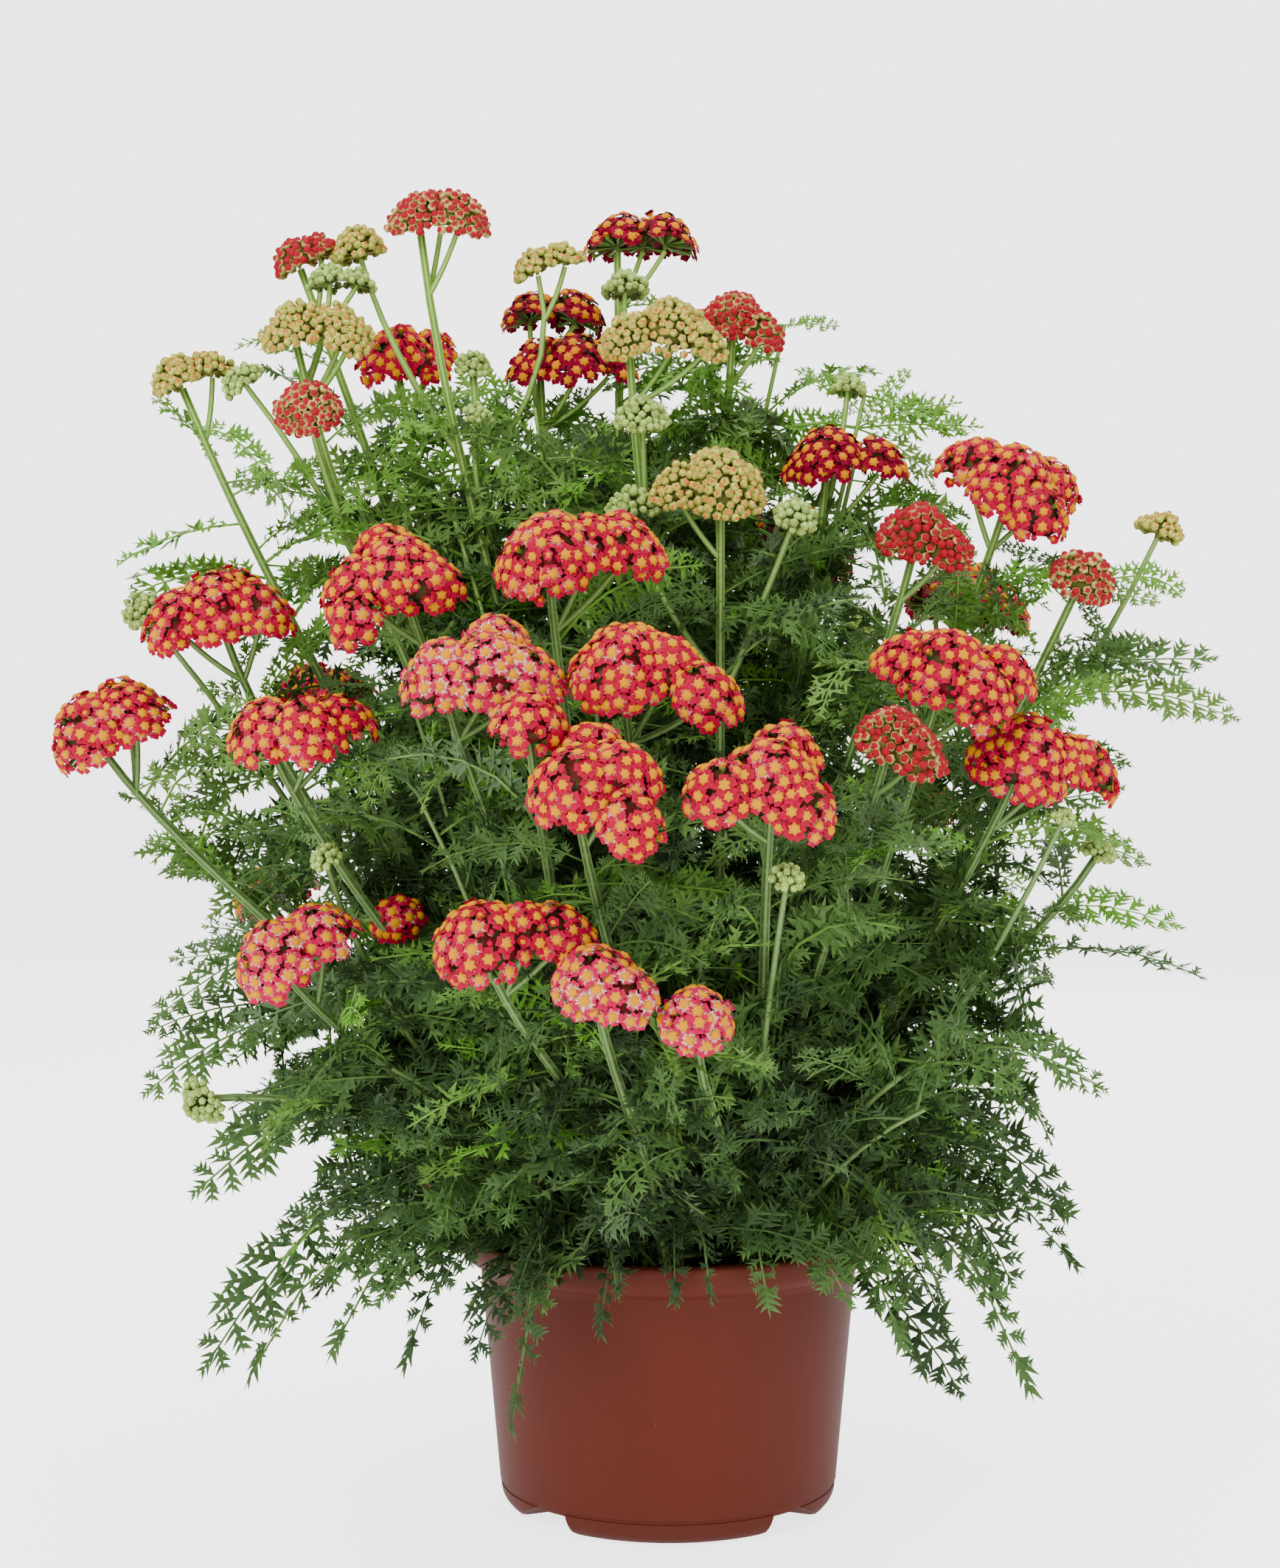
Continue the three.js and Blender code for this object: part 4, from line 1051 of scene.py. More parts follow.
for k in range(foliage["perStem"]):
    for i, (name, fine, top) in enumerate(leafRoots):
        if k and i % 2:
            continue
        t = lerp(foliage["lowest"], top, (foliage["step"] * (i + 0.37 * k)) % 1)
        root = fine[math.floor(t * (len(fine) - 1) + 0.5)]
        azimuth = goldenTurn * k + 71 * i + 30 * next(leafDraws)
        length = lerp(*leafSize["lengths"], t) * between(leafSize["variation"])
        rise = between(leafSize["rise"])
        bend = rise + between(leafSize["bend"])
        growLeaf(name, root, azimuth, rise, bend, length, leafSize["width"] * length)

print("plan grown:", len(headPlans), "heads,", len(grownLeaves), "main leaves")

# More leaves between them, kept clear of the heads and of the pot

extra = {"seed": 7100, "perStem": 18, "lengths": (106, 70), "variation": (0.8, 1.15), "rise": (-5, 72),
         "bend": (0, 80), "fall": (0.3, 1), "sway": 0.2, "widths": (0.14, 0.18), "margin": 0.04,
         "plumoseFrom": 72, "turns": (0, 40, -40, 85, -85, 130, -130, 180), "testPoints": 6}
basal = {"each": 4, "aside": 75, "lengths": (120, 165), "rise": (48, 78), "innerRise": (62, 84),
         "bend": (50, 105), "innerTo": 40, "testWidth": 14, "halfWidths": (13, 17),
         "turns": (0, 30, -30, 60, -60), "testPoints": 9}
upper = {"seed": 7500, "perStem": 4, "below": (24, 120), "lengths": (38, 74), "rise": (15, 70),
         "bend": (40, 120), "width": 0.17}
apart = {"heads": 2.5, "aboveHead": 50, "aside": 4, "beforeHead": 80, "headsInFront": 60, "box": 5,
         "fromPlan": 36}
filler = {"seed": 7300, "count": 22, "out": (45, 165), "high": (210, 440), "room": 14, "bend": (0.45, 0.18),
          "tallBend": (0.5, 0.12), "radius": 1.5, "tallRadius": 1.7, "tip": 0.9, "bare": 18}
tallShoots = [
    ("innerBackRight", (92, 34, 512)), ("back", (56, 66, 548)), ("innerBackLeft", (-96, 62, 486)),
    ("backLeft", (-148, 40, 470)), ("innerBackLeft", (-62, 34, 506)), ("innerBackLeft", (-24, 56, 516)),
    ("innerBackRight", (22, 62, 520)), ("innerBackRight", (58, 48, 500)), ("innerFrontLeft", (-44, 2, 484)),
    ("innerBackRight", (88, 20, 486)), ("innerFrontLeft", (-104, 12, 470)),
]
isHead = [owner == "a head" for owner in taken["owners"]]
headBalls, headRadii = (np.array(taken[part])[isHead] for part in ("points", "radii"))
headAxes = [(*headFrame(plan), max(math.hypot(r, b) + radius for r, b, radius in plan["domes"]))
            for plan in headPlans if plan["stage"] != "green"]
planTree = kdtree.KDTree(len(taken["points"]))
for k, p in enumerate(taken["points"]):
    planTree.insert(p, k)
planTree.balance()
boxLow = np.array(cadBox[0]) / metre - apart["box"]
boxHigh = np.array(cadBox[1]) / metre + apart["box"]

rimFrond = {"halfWidth": 13, "crest": 0.72, "crestHeight": 58}
overRim = [  # crown, azimuth, reach, height of the tip
    ["frontLeft", 237, 118, 104], ["front", 254, 112, 98], ["front", 271, 108, 112], ["front", 278, 122, 116],
    ["frontRight", 292, 114, 108], ["frontRight", 303, 120, 118], ["left", 199, 128, 66],
    ["left", 212, 176, 84], ["right", 345, 138, 62], ["right", 338, 162, 96], ["right", 3, 150, 92],
    ["rightBack", 40, 132, 100], ["backRight", 66, 120, 104], ["back", 97, 118, 98], ["back", 124, 122, 110],
    ["backLeft", 152, 130, 88],
]

sideLeaf = {"width": 0.17, "roll": 62, "lift": 0.12, "featheryFrom": 66}
sideLeaves = [  # start and tip (right, up), place behind the axis
    ((168, 378), (250, 389), -12), ((158, 285), (234, 267), -24), ((154, 310), (211, 330), 6),
    ((132, 231), (178, 213), -46), ((119, 188), (182, 143), -40), ((104, 112), (130, 62), -60),
    ((140, 150), (156, 104), -28), ((56, 545), (82, 545), 50), ((108, 506), (140, 492), 24),
    ((132, 385), (178, 430), 10), ((150, 398), (108, 456), 16), ((88, 508), (58, 524), 34),
    ((91, 500), (114, 524), 34), ((91, 497), (138, 508), 30), ((95, 492), (148, 496), 26),
    ((113, 492), (124, 466), 26), ((86, 506), (66, 494), 36), ((143, 441), (178, 432), 2),
    ((140, 431), (176, 410), 4), ((145, 450), (172, 452), 2), ((139, 428), (116, 414), 6),
    ((184, 416), (202, 386), -20), ((187, 419), (222, 414), -20), ((221, 438), (234, 416), -2),
    ((-186, 230), (-240, 190), -18), ((-186, 289), (-230, 293), -10), ((-180, 248), (-232, 250), 10),
    ((-192, 330), (-228, 319), -20), ((-150, 150), (-212, 66), -36), ((-196, 500), (-176, 462), -20),
    ((-150, 190), (-222, 140), 4), ((-168, 266), (-236, 224), -30), ((-150, 330), (-222, 344), 14),
    ((-128, 206), (-200, 176), -56), ((-112, 176), (-176, 132), -70), ((-134, 240), (-196, 226), -64),
    ((-120, 190), (-186, 196), 24), ((-130, 228), (-204, 206), 30), ((-104, 160), (-160, 150), -76),
]


# A leaf at the plant's side grows from the nearest stem and shows its upper side to the front.
def growSideLeaves():
    for (x, z), (tipX, tipZ), y in sideLeaves:
        start, tip = vec(x, y, z), vec(tipX, y - 6, tipZ)
        roots = [(name, fine[np.argmin(np.linalg.norm(fine - start, axis=1))]) for name, fine, _ in leafRoots]
        name, root = min(roots, key=lambda one: far(one[1], start))
        crest = lerp(start, tip, 0.3) + up * sideLeaf["lift"] * far(start, tip)
        rib, length = bezier([root, crest, tip], 20), far(root, tip)
        turn, roll = (0, sideLeaf["roll"]) if tipX > x else (180, -sideLeaf["roll"])
        kind = "feathery" if length > sideLeaf["featheryFrom"] else "short"
        grownLeaves.append((name, rib, turn, sideLeaf["width"] * length, kind, roll))


# Some of the places are too far from each stem, head and main leaf.
def offPlan(places):
    return max(planTree.find(p)[2] for p in places) > apart["fromPlan"]


def missesAll(spots, root):
    if np.any(spots < boxLow) or np.any(spots > boxHigh) or offPlan(spots):
        return False
    near = np.linalg.norm(spots - root, axis=1) < room["nearRoot"]
    gaps = np.linalg.norm(spots[:, None] - headBalls[None], axis=2) - headRadii[None]
    if not np.all(near | offPot(spots)) or np.any(gaps < apart["heads"]):
        return False
    for origin, _, axis, reach in headAxes:  # nothing grows over a head, or close before one
        rise = (spots - origin) @ axis
        aside = np.linalg.norm(spots - origin - rise[:, None] * axis, axis=1)
        if np.any((rise > -2) & (rise < apart["aboveHead"]) & (aside < reach + apart["aside"] - 0.1 * rise)):
            return False
        x, y, z = (spots - origin).T
        hides = (y < 0) & (y > -apart["beforeHead"]) & (np.hypot(x, z) < reach)
        if origin[1] < apart["headsInFront"] and np.any(hides):
            return False
    return True


# A leaf's rib, for an azimuth and a count of points. It may sway to one side.
def ribRule(root, rise, bend, length, sway=0.0):
    def ribAt(azimuth, count):
        rib = ribOf(root, azimuth, rise, bend, length / count, count)
        shares = np.linspace(0, 1, len(rib))[:, None]
        return rib + shares ** 2 * sway * far(rib[0], rib[-1]) * onCompass(azimuth + 90, 1, 0)

    return ribAt


# The azimuth and half width of a leaf at the first of the turns at which it misses all.
def firstClear(ribAt, root, base, rule, drawWidth):
    for turn in rule["turns"]:
        halfWidth = drawWidth()
        if missesAll(leafSpots(ribAt(base + turn, rule["testPoints"]), halfWidth), root):
            return base + turn, halfWidth
    return None


def growFiller(name, foot, tip, bend, radius, bare, top):
    fine = shootLine(foot, tip, *bend)
    if not offPlan(fine):
        stemLines.append((fine, radius, filler["tip"], name))
        leafRoots.append((name, fine[bare:], top))


# Thin leafy shoots between the stems
def growFillers():
    pick = random.Random(filler["seed"])
    for k in range(filler["count"]):
        azimuth = goldenTurn * k
        out = lerp(*filler["out"], ((k + 0.5) / filler["count"]) ** 0.6)
        tip = onCompass(azimuth, out, lerp(*filler["high"], pick.random()) - 0.5 * out)
        if np.min(np.linalg.norm(headBalls - tip, axis=1) - headRadii) >= filler["room"]:
            name = min(crowns, key=lambda one: far(crownPlace(one)[:2], tip[:2] * 0.5))
            foot = crownPlace(name) + onCompass(azimuth, 3, 0)
            growFiller(name, foot, tip, filler["bend"], filler["radius"], 0, 0.95)
    for name, tip in tallShoots:
        bend, radius = filler["tallBend"], filler["tallRadius"]
        growFiller(name, crownPlace(name), vec(*tip), bend, radius, filler["bare"], 0.97)


def growExtras(pick):
    for i, (name, fine, top) in enumerate(leafRoots):
        height = fine[-1][2] - soilTop
        count = round(extra["perStem"] * min(1.25, 0.45 + height / 450))
        for k in range(count):
            t = lerp(extra["margin"], top + extra["margin"], (k + pick.random()) / count)
            root = fine[round(t * (len(fine) - 1))]
            length = lerp(*extra["lengths"], t) * pick.uniform(*extra["variation"])
            rise = pick.uniform(*extra["rise"])
            bend = rise * pick.uniform(*extra["fall"]) + pick.uniform(*extra["bend"])
            base = goldenTurn * k + 71 * i + 40 + pick.uniform(-20, 20)
            ribAt = ribRule(root, rise, bend, length, pick.uniform(-extra["sway"], extra["sway"]))
            clear = firstClear(ribAt, root, base, extra, lambda: length * pick.uniform(*extra["widths"]))
            if clear:
                isLong = length > extra["plumoseFrom"]
                kind = pick.choice(["plumose", "plumose", "feathery"]) if isLong else "short"
                grownLeaves.append((name, ribAt(clear[0], finer), *clear, kind))


# Long leaves that rise from the crowns, and some that hang over the rim
def growBasal(pick):
    for name, azimuth, reach, low in overRim:
        crest = onCompass(azimuth, rimFrond["crest"] * reach, pot["height"] + rimFrond["crestHeight"])
        spine = [crownPlace(name), crest, onCompass(azimuth, reach, low)]
        grownLeaves.append((name, bezier(spine, 26), azimuth, rimFrond["halfWidth"], "frond"))
    for name, (azimuth, distance) in crowns.items():
        for k in range(basal["each"]):
            root = crownPlace(name) + onCompass(90 * k, 5, 1)
            base = azimuth + pick.uniform(-basal["aside"], basal["aside"])
            length = pick.uniform(*basal["lengths"])
            rise = pick.uniform(*basal["rise" if distance > basal["innerTo"] else "innerRise"])
            ribAt = ribRule(root, rise, pick.uniform(*basal["bend"]), length)
            clear = firstClear(ribAt, root, base, basal, lambda: basal["testWidth"])
            if clear:
                halfWidth = pick.uniform(*basal["halfWidths"])
                grownLeaves.append((name, ribAt(clear[0], 24), clear[0], halfWidth, "frond"))


# Short leaves on the upper part of each stem, longer further down
def growUpper(pick):
    for i, (name, fine, _) in enumerate(leafRoots[:len(stems)]):
        for k in range(upper["perStem"]):
            share = (k + pick.random()) / upper["perStem"]
            below = lerp(*upper["below"], share)
            root = fine[np.argmin(np.abs(np.linalg.norm(fine - fine[-1], axis=1) - below))]
            length = lerp(*upper["lengths"], share) * pick.uniform(0.85, 1.15)
            rise = pick.uniform(*upper["rise"])
            ribAt = ribRule(root, rise, pick.uniform(*upper["bend"]), length)
            base, halfWidth = goldenTurn * k + 53 * i, upper["width"] * length
            clear = firstClear(ribAt, root, base, extra, lambda: halfWidth)
            if clear:
                grownLeaves.append((name, ribAt(clear[0], finer), *clear, "short"))


growFillers()
growSideLeaves()
extraPick = random.Random(extra["seed"])
growExtras(extraPick)
growBasal(extraPick)
growUpper(random.Random(upper["seed"]))
print("leaves grown:", len(grownLeaves), "in all")

# Pieces of the plant


def plainForm(rings, sides):
    return turnedForm([(1.0, i / rings) for i in range(rings + 1)], sides, "rod")


def makeRibbedRod():
    piece = plainForm(14, 10)
    for vertex in piece.data.vertices:
        column = round((math.degrees(math.atan2(vertex.co.y, vertex.co.x)) - 90) / 36)
        if column % 2:
            vertex.co.xy *= 0.82
    return laidDown(takeUnit(piece, lambda p: (np.where(np.hypot(p[:, 0], p[:, 1]) > 0.9, 1, -1), p[:, 2])))


def makePlainRod(rings, sides):
    piece = openEnds(plainForm(rings, sides), True)
    return laidDown(takeUnit(piece, lambda p: (waves(p, 3), p[:, 2])))


ribbedRod, plainRod, twig = makeRibbedRod(), makePlainRod(6, 5), makePlainRod(2, 3)
# The dark cushion of painted shade that lies under flowers and buds.
shadeCushion = takeUnit(turnedForm([(0.5, 0), (0.94, 1), (0.76, 2), (0.42, 3)], 12, "shadeCushion"),
                   lambda p: (waves(p, 3), np.clip(1 - p[:, 2] / 3, 0, 1)))


def unitRows(rows):
    return rows / np.linalg.norm(rows, axis=1)[:, None]


# A unit that lies along +X is bent onto a spine. Its sides are carried along, or given.
def bent(points, spine, left=None, across=1.0, roll=0.0, twist=0.0):
    along = unitRows(np.gradient(spine, axis=0))
    if left is None:
        lefts, last = [], vec(0.8, 0.6, 0)
        for a in along:
            last = unit(last - a * (last @ a))
            lefts.append(last)
        lefts = np.array(lefts)
    else:
        lefts = unitRows(left - along * (along @ left)[:, None])
    normals = np.cross(along, lefts)
    place = np.clip(points[:, 0], 0, 1) * (len(spine) - 1)
    i = np.minimum(place.astype(int), len(spine) - 2)
    f = (place - i)[:, None]
    middle, side, normal = (values[i] * (1 - f) + values[i + 1] * f for values in (spine, lefts, normals))
    angle = np.radians(roll + twist * points[:, :1])
    y, z = points[:, 1:2] * across, points[:, 2:3] * across
    cos, sin = np.cos(angle), np.sin(angle)
    return middle + y * (side * cos + normal * sin) + z * (normal * cos - side * sin)


def makeStems(name):
    pick = random.Random(300 + list(crowns).index(name))
    bunch = Bunch()
    for line, foot, tip, crown in stemLines:
        if crown != name:
            continue
        rod, isMain = (ribbedRod, True) if foot > 2 else (plainRod, False)
        wide = stemSize["stout"] * lerp(foot, tip, rod.points[:, :1])
        if isMain:
            line = np.vstack([line[0] - (0, 0, stemSize["buried"]), line[1:]])
        points = bent(rod.points, line, across=wide)
        along = points[:, 2] / plantTop
        bunch.add(rod, points, "stem", pick.randrange(cells["stem"]), along=along)
    piece = bunch.makePiece("stems_" + name, [plantMaterials["stem"]])
    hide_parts("clump_" + name)


leafTones = {"low": 0.13, "out": 0.26, "high": 0.32, "top": 0.36, "spread": 0.13, "range": (0.08, 0.78),
             "lime": (0.7, 0.83), "grey": (0.88, 1), "fullOut": 220, "base": 110, "fullHeight": 450}
leafChances = {"withered": 0.03, "lime": 0.09, "grey": 0.18}  # each from the one before


# Leaf tones, with painted shade and light: low and inner leaves are dark, as painted shade of the plant's
# core, and high and outer ones lighter, as painted light; the tone also differs at random, and some are
# greyish or lime.
def leafToneWithShade(pick, rib):
    middle = rib[len(rib) // 2]
    out = math.hypot(middle[0], middle[1]) / leafTones["fullOut"]
    high = (middle[2] - leafTones["base"]) / leafTones["fullHeight"]
    tone = (leafTones["low"] + leafTones["out"] * out + leafTones["high"] * high
            + leafTones["top"] * max(high, 0) ** 3 + pick.gauss(0, leafTones["spread"]))
    chance = pick.random()
    if chance < leafChances["withered"] and out < 0.4 and high < 0.2:
        return 0
    for kind in ("lime", "grey"):
        if chance < leafChances[kind]:
            return pick.uniform(*leafTones[kind])
    return min(max(tone, leafTones["range"][0]), leafTones["range"][1])


leafRoll = {"spread": 55, "most": 100, "twist": 60}


def makeLeaves(name):
    pick = random.Random(400 + list(crowns).index(name))
    bunch = Bunch()
    for crown, rib, azimuth, halfWidth, kind, *given in grownLeaves:
        if crown != name:
            continue
        shape = pick.choice(leafKinds[kind])
        across = halfWidth / shape.points[:, 1].max()
        roll = min(max(pick.gauss(0, leafRoll["spread"]), -leafRoll["most"]), leafRoll["most"])
        twist = pick.uniform(-leafRoll["twist"], leafRoll["twist"])
        if given:
            roll, twist = given[0], 0
        points = bent(shape.points, rib, onCompass(azimuth + 90, 1, 0), across, roll, twist)
        bunch.add(shape, points, tone=leafToneWithShade(pick, rib))
    piece = bunch.makePiece("leaves_" + name, [plantMaterials["leaf"]])
    return len(piece.data.polygons)


for name in crowns:
    makeStems(name)
leafFaces = sum(makeLeaves(name) for name in crowns)
print("stems and leaves made:", leafFaces, "leaf faces")

# Flower heads

flowering = {"reach": 4.8, "tries": 52, "topShare": 0.76, "normalShare": 0.9, "skirtDrop": 0.3,
             "skirtOut": 0.2, "wobble": 0.1, "sizes": (0.9, 1.1), "rise": 0.6, "lump": 0.15, "lumpRise": 1.3,
             "hubRise": 2.5, "cupDrop": 2.7, "cupSize": 0.95, "budShare": 0.05, "budSize": 0.8, "budDrop": 2,
             "halfOpenShare": 0.07, "halfOpenSize": 0.75, "cellBias": 1.6, "pinkBias": 0.8,
             "shadeCushionDepth": 2.2, "shadeCushionThickness": 3}
budding = {"reach": 2.9, "fullRadius": 12, "leastShare": 0.72, "wobble": 0.14, "sizes": (0.88, 1.14),
           "sizeReach": 2.95, "drop": 3.2, "proud": 0.9, "lumpRise": 2.4, "stoutness": 1.12, "hubRise": 2,
           "shadeCushionDepth": 2.6, "redness": (0, 2, 0, 1, 2, 0, 1, 1)}


def facingsAt(domes, x, y):
    step = 0.8
    slopeX = (headHeight(domes, x + step, y) - headHeight(domes, x - step, y)) / (2 * step)
    slopeY = (headHeight(domes, x, y + step) - headHeight(domes, x, y - step)) / (2 * step)
    steep = unitRows(np.stack([-slopeX, -slopeY, np.ones(len(x))], 1))
    return unitRows(lerp(up, steep, flowering["normalShare"]))


# An even choice of places: each next one is the furthest from the others until all lie within reach of
# one. Then each moves to the middle of what lies nearest to it.
def evenly(places, reach):
    chosen = [0]
    nearest = np.full(len(places), 1e9)
    while nearest.max() > reach:
        nearest = np.minimum(nearest, np.linalg.norm(places - places[chosen[-1]], axis=1))
        chosen.append(int(np.argmax(nearest)))
    for _ in range(4):
        owner = np.argmin(np.linalg.norm(places[:, None] - places[chosen][None], axis=2), axis=1)
        for k in range(len(chosen)):
            own = np.flatnonzero(owner == k)
            if len(own):
                gaps = np.linalg.norm(places[own] - places[own].mean(axis=0), axis=1)
                chosen[k] = own[np.argmin(gaps)]
    return sorted(set(chosen))


# Places and facings all over the domes and in a skirt that hangs round their rims.
def placesOver(domes, reach, pick):
    places, facings = [], []
    for right, back, radius in domes:
        count = round(flowering["tries"] * (radius / reach) ** 2)
        turn = np.array([pick.uniform(0, 2 * math.pi) for _ in range(count)])
        share = np.array([pick.random() for _ in range(count)]) / flowering["topShare"]
        isSkirt = share > 1
        fall = np.where(isSkirt, (share - 1) / (1 / flowering["topShare"] - 1), 0)
        out = np.where(isSkirt, radius + flowering["skirtOut"], radius * share ** 0.42)
        x, y = right + out * np.cos(turn), back + out * np.sin(turn)
        z = headHeight(domes, x, y) - fall * flowering["skirtDrop"] * radius
        hanging = unitRows(np.stack([np.cos(turn), np.sin(turn), 0.7 - 0.6 * fall], 1))
        outside = np.all([np.hypot(x - a, y - b) > r - 1 for a, b, r in domes], axis=0)
        kept = ~isSkirt | outside
        places.append(np.stack([x, y, z], 1)[kept])
        facings.append(np.where(isSkirt[:, None], hanging, facingsAt(domes, x, y))[kept])
    places, facings = np.vstack(places), np.vstack(facings)
    return [(places[k], facings[k]) for k in evenly(places, reach)]


# Under the flowers of a dome lies a thin cushion for their crowded cups, coloured dark as painted shade
# between the flowers.
def addShadeCushions(bunch, plan, frameOf, kind, cell, depth, shade):
    for one in plan["domes"]:
        right, back, radius = one
        points = shadeCushion.points * (radius, radius, 0) + (right, back, 0)
        points[:, 2] = headHeight([one], points[:, 0], points[:, 1]) - depth
        points[shadeCushion.points[:, 2] < 0.5, 2] -= flowering["shadeCushionThickness"]
        bunch.add(shadeCushion, frameOf(points), kind, cell, along=shadeCushion.along * shade)


# The stalk of a cup is drawn out to the hub that it grows from.
def addCup(bunch, place, turn, hub, frameOf, pick, scale):
    points = cup.points * scale @ turn.T + place
    stalk = cup.points[:, 2] < -0.5
    points[stalk] = hub + cup.points[stalk] * (0.9, 0.9, 0)
    bunch.add(cup, frameOf(points), "calyx", pick.randrange(cells["calyx"] - 1))


# From the plane of a head's rim to the plant.
def frameFor(plan):
    origin, turn, _ = headFrame(plan)
    return lambda points: points @ turn.T + origin


# The way that a flower looks, and a turn to it.
def facingFor(normal, wobble, pick):
    tilt = unit(normal + vec(pick.gauss(0, wobble), pick.gauss(0, wobble), 0))
    return tilt, turnTo(tilt) @ turnAbout(zAxis, pick.uniform(0, 360))


def nearestHub(plan, place, rise):
    return min([seatPoint(one) for one in plan["domes"]], key=lambda hub: far(hub, place)) + (0, 0, rise)


# Small groups of flowers stand out from a head.
def lumpAt(place, plan):
    return noise.noise(Vector(place * flowering["lump"]) + Vector(plan["at"]) * 0.37)


def makeBloom(name, plan, pick):
    bunch, frameOf = Bunch(), frameFor(plan)
    isPink, isDark = plan["at"] in pinkHeads, plan["stage"] == "dark"
    bias = flowering["pinkBias" if isPink else "cellBias"]
    for place, normal in placesOver(plan["domes"], flowering["reach"], pick):
        tilt, facing = facingFor(normal, flowering["wobble"], pick)
        hub = nearestHub(plan, place, flowering["hubRise"])
        scale, chance = pick.uniform(*flowering["sizes"]), pick.random()
        place = place + tilt * (flowering["rise"] + flowering["lumpRise"] * lumpAt(place, plan))
        cupPlace = place - tilt * flowering["cupDrop"] * scale
        addCup(bunch, cupPlace, facing, hub, frameOf, pick, scale * flowering["cupSize"])
        if chance < flowering["budShare"]:
            points = budUnit.points * flowering["budSize"] @ facing.T + place - tilt * flowering["budDrop"]
            bunch.add(budUnit, frameOf(points), "petal", pick.randrange(cells["petal"]))
            continue
        isHalfOpen = chance < flowering["budShare"] + flowering["halfOpenShare"]
        corolla = pick.choice(cupped if isHalfOpen else corollas)
        size = scale * (flowering["halfOpenSize"] if isHalfOpen else 1)
        cell = min(cells["petal"] - 1, int(pick.random() ** bias * cells["petal"]))
        bunch.add(corolla, frameOf(corolla.points * size @ facing.T + place), "petal", cell)
        disc = pick.choice(discs)
        points = disc.points * size @ facing.T + place
        bunch.add(disc, frameOf(points), "disc", pick.randrange(cells["disc"]))
    addShadeCushions(bunch, plan, frameOf, "calyx", 2, flowering["shadeCushionDepth"], 1)
    addTwigs(bunch, plan, frameOf, "calyx", 0.4 * plainRod.along)
    petals = "darkPetal" if isDark else "pinkPetal" if isPink else "openPetal"
    parts = (petals, "darkDisc" if isDark else "openDisc", "calyx")
    return bunch.makePiece(name, [plantMaterials[part] for part in parts])


# Twigs join the hubs under the domes past the third to the first one.
def addTwigs(bunch, plan, frameOf, kind, along):
    seats = [seatPoint(one) for one in plan["domes"]]
    for k, seat in enumerate(seats):
        line = seat + np.linspace((0, 0, 0), (0, 0, 2.6), 5)
        if k > 2:
            line = bezier([seats[0], lerp(seats[0], seat, 0.5) - (0, 0, 2), seat + (0, 0, 2)], 4)
        bunch.add(plainRod, frameOf(bent(plainRod.points, line, across=0.9)), kind, along=along)


def makeBudHead(bunch, plan, pick, redness=1):
    frameOf = frameFor(plan)
    isGreen = plan["stage"] == "green"
    size = min(1, plan["domes"][0][2] / budding["fullRadius"]) if isGreen else 1
    reach = budding["reach"] * lerp(budding["leastShare"], 1, size)
    stout = (budding["stoutness"], budding["stoutness"], 1)
    for place, normal in placesOver(plan["domes"], reach, pick):
        tilt, facing = facingFor(normal, budding["wobble"], pick)
        scale = reach / budding["sizeReach"] * pick.uniform(*budding["sizes"])
        lump = budding["lumpRise"] * lumpAt(place, plan)
        place = place - tilt * (budding["drop"] * scale - pick.uniform(0, budding["proud"]) - lump)
        hub = nearestHub(plan, place, budding["hubRise"])
        points = budUnit.points * scale * stout @ facing.T + place
        bunch.add(budUnit, frameOf(points), "bud", redness + pick.randrange(cells["bud"] - 2))
        stalk = bezier([hub, lerp(hub, place, 0.5) + (0, 0, 0.4), place + tilt * 0.4], 3)
        points = bent(twig.points, stalk, across=0.5)
        bunch.add(twig, frameOf(points), "bud", 1, along=0.25 + 0.1 * twig.along)
    if not isGreen:
        addShadeCushions(bunch, plan, frameOf, "bud", 0, budding["shadeCushionDepth"], 0)
    addTwigs(bunch, plan, frameOf, "bud", 0.25 + 0.1 * plainRod.along)


def makeHeads():
    counts, greens = {}, {}
    for index, plan in enumerate(headPlans):
        pick = random.Random(500 + index)
        stage = plan["stage"]
        if stage == "green":
            makeBudHead(greens.setdefault(plan["crown"], Bunch()), plan, pick)
            continue
        count = counts[stage] = counts.get(stage, 0) + 1
        name = f"{stage}Flowers_{count}"
        if stage in ("open", "dark"):
            piece = makeBloom(name, plan, pick)
        else:
            bunch = Bunch()
            makeBudHead(bunch, plan, pick, budding["redness"][count - 1] if stage == "bud" else 1)
            piece = bunch.makePiece(name, [plantMaterials["redBud" if stage == "bud" else "youngBud"]])
        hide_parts(f"{stage}_head_{count}")
    for name, bunch in greens.items():
        bunch.makePiece("greenBuds_" + name, [plantMaterials["greenBud"]])
    return counts


print("heads made:", makeHeads())

# Pot

potFinish = {"facets": 112, "groove": (10.4, 11.2, 0.6), "footRadius": 70, "footDepth": 13, "drains": 4,
             "drainRadius": 4.5, "drainDistance": 65.8,
             "feet": ((270, 35, 37), (90, 35, 37), (0, 23, 40), (180, 23, 40))}


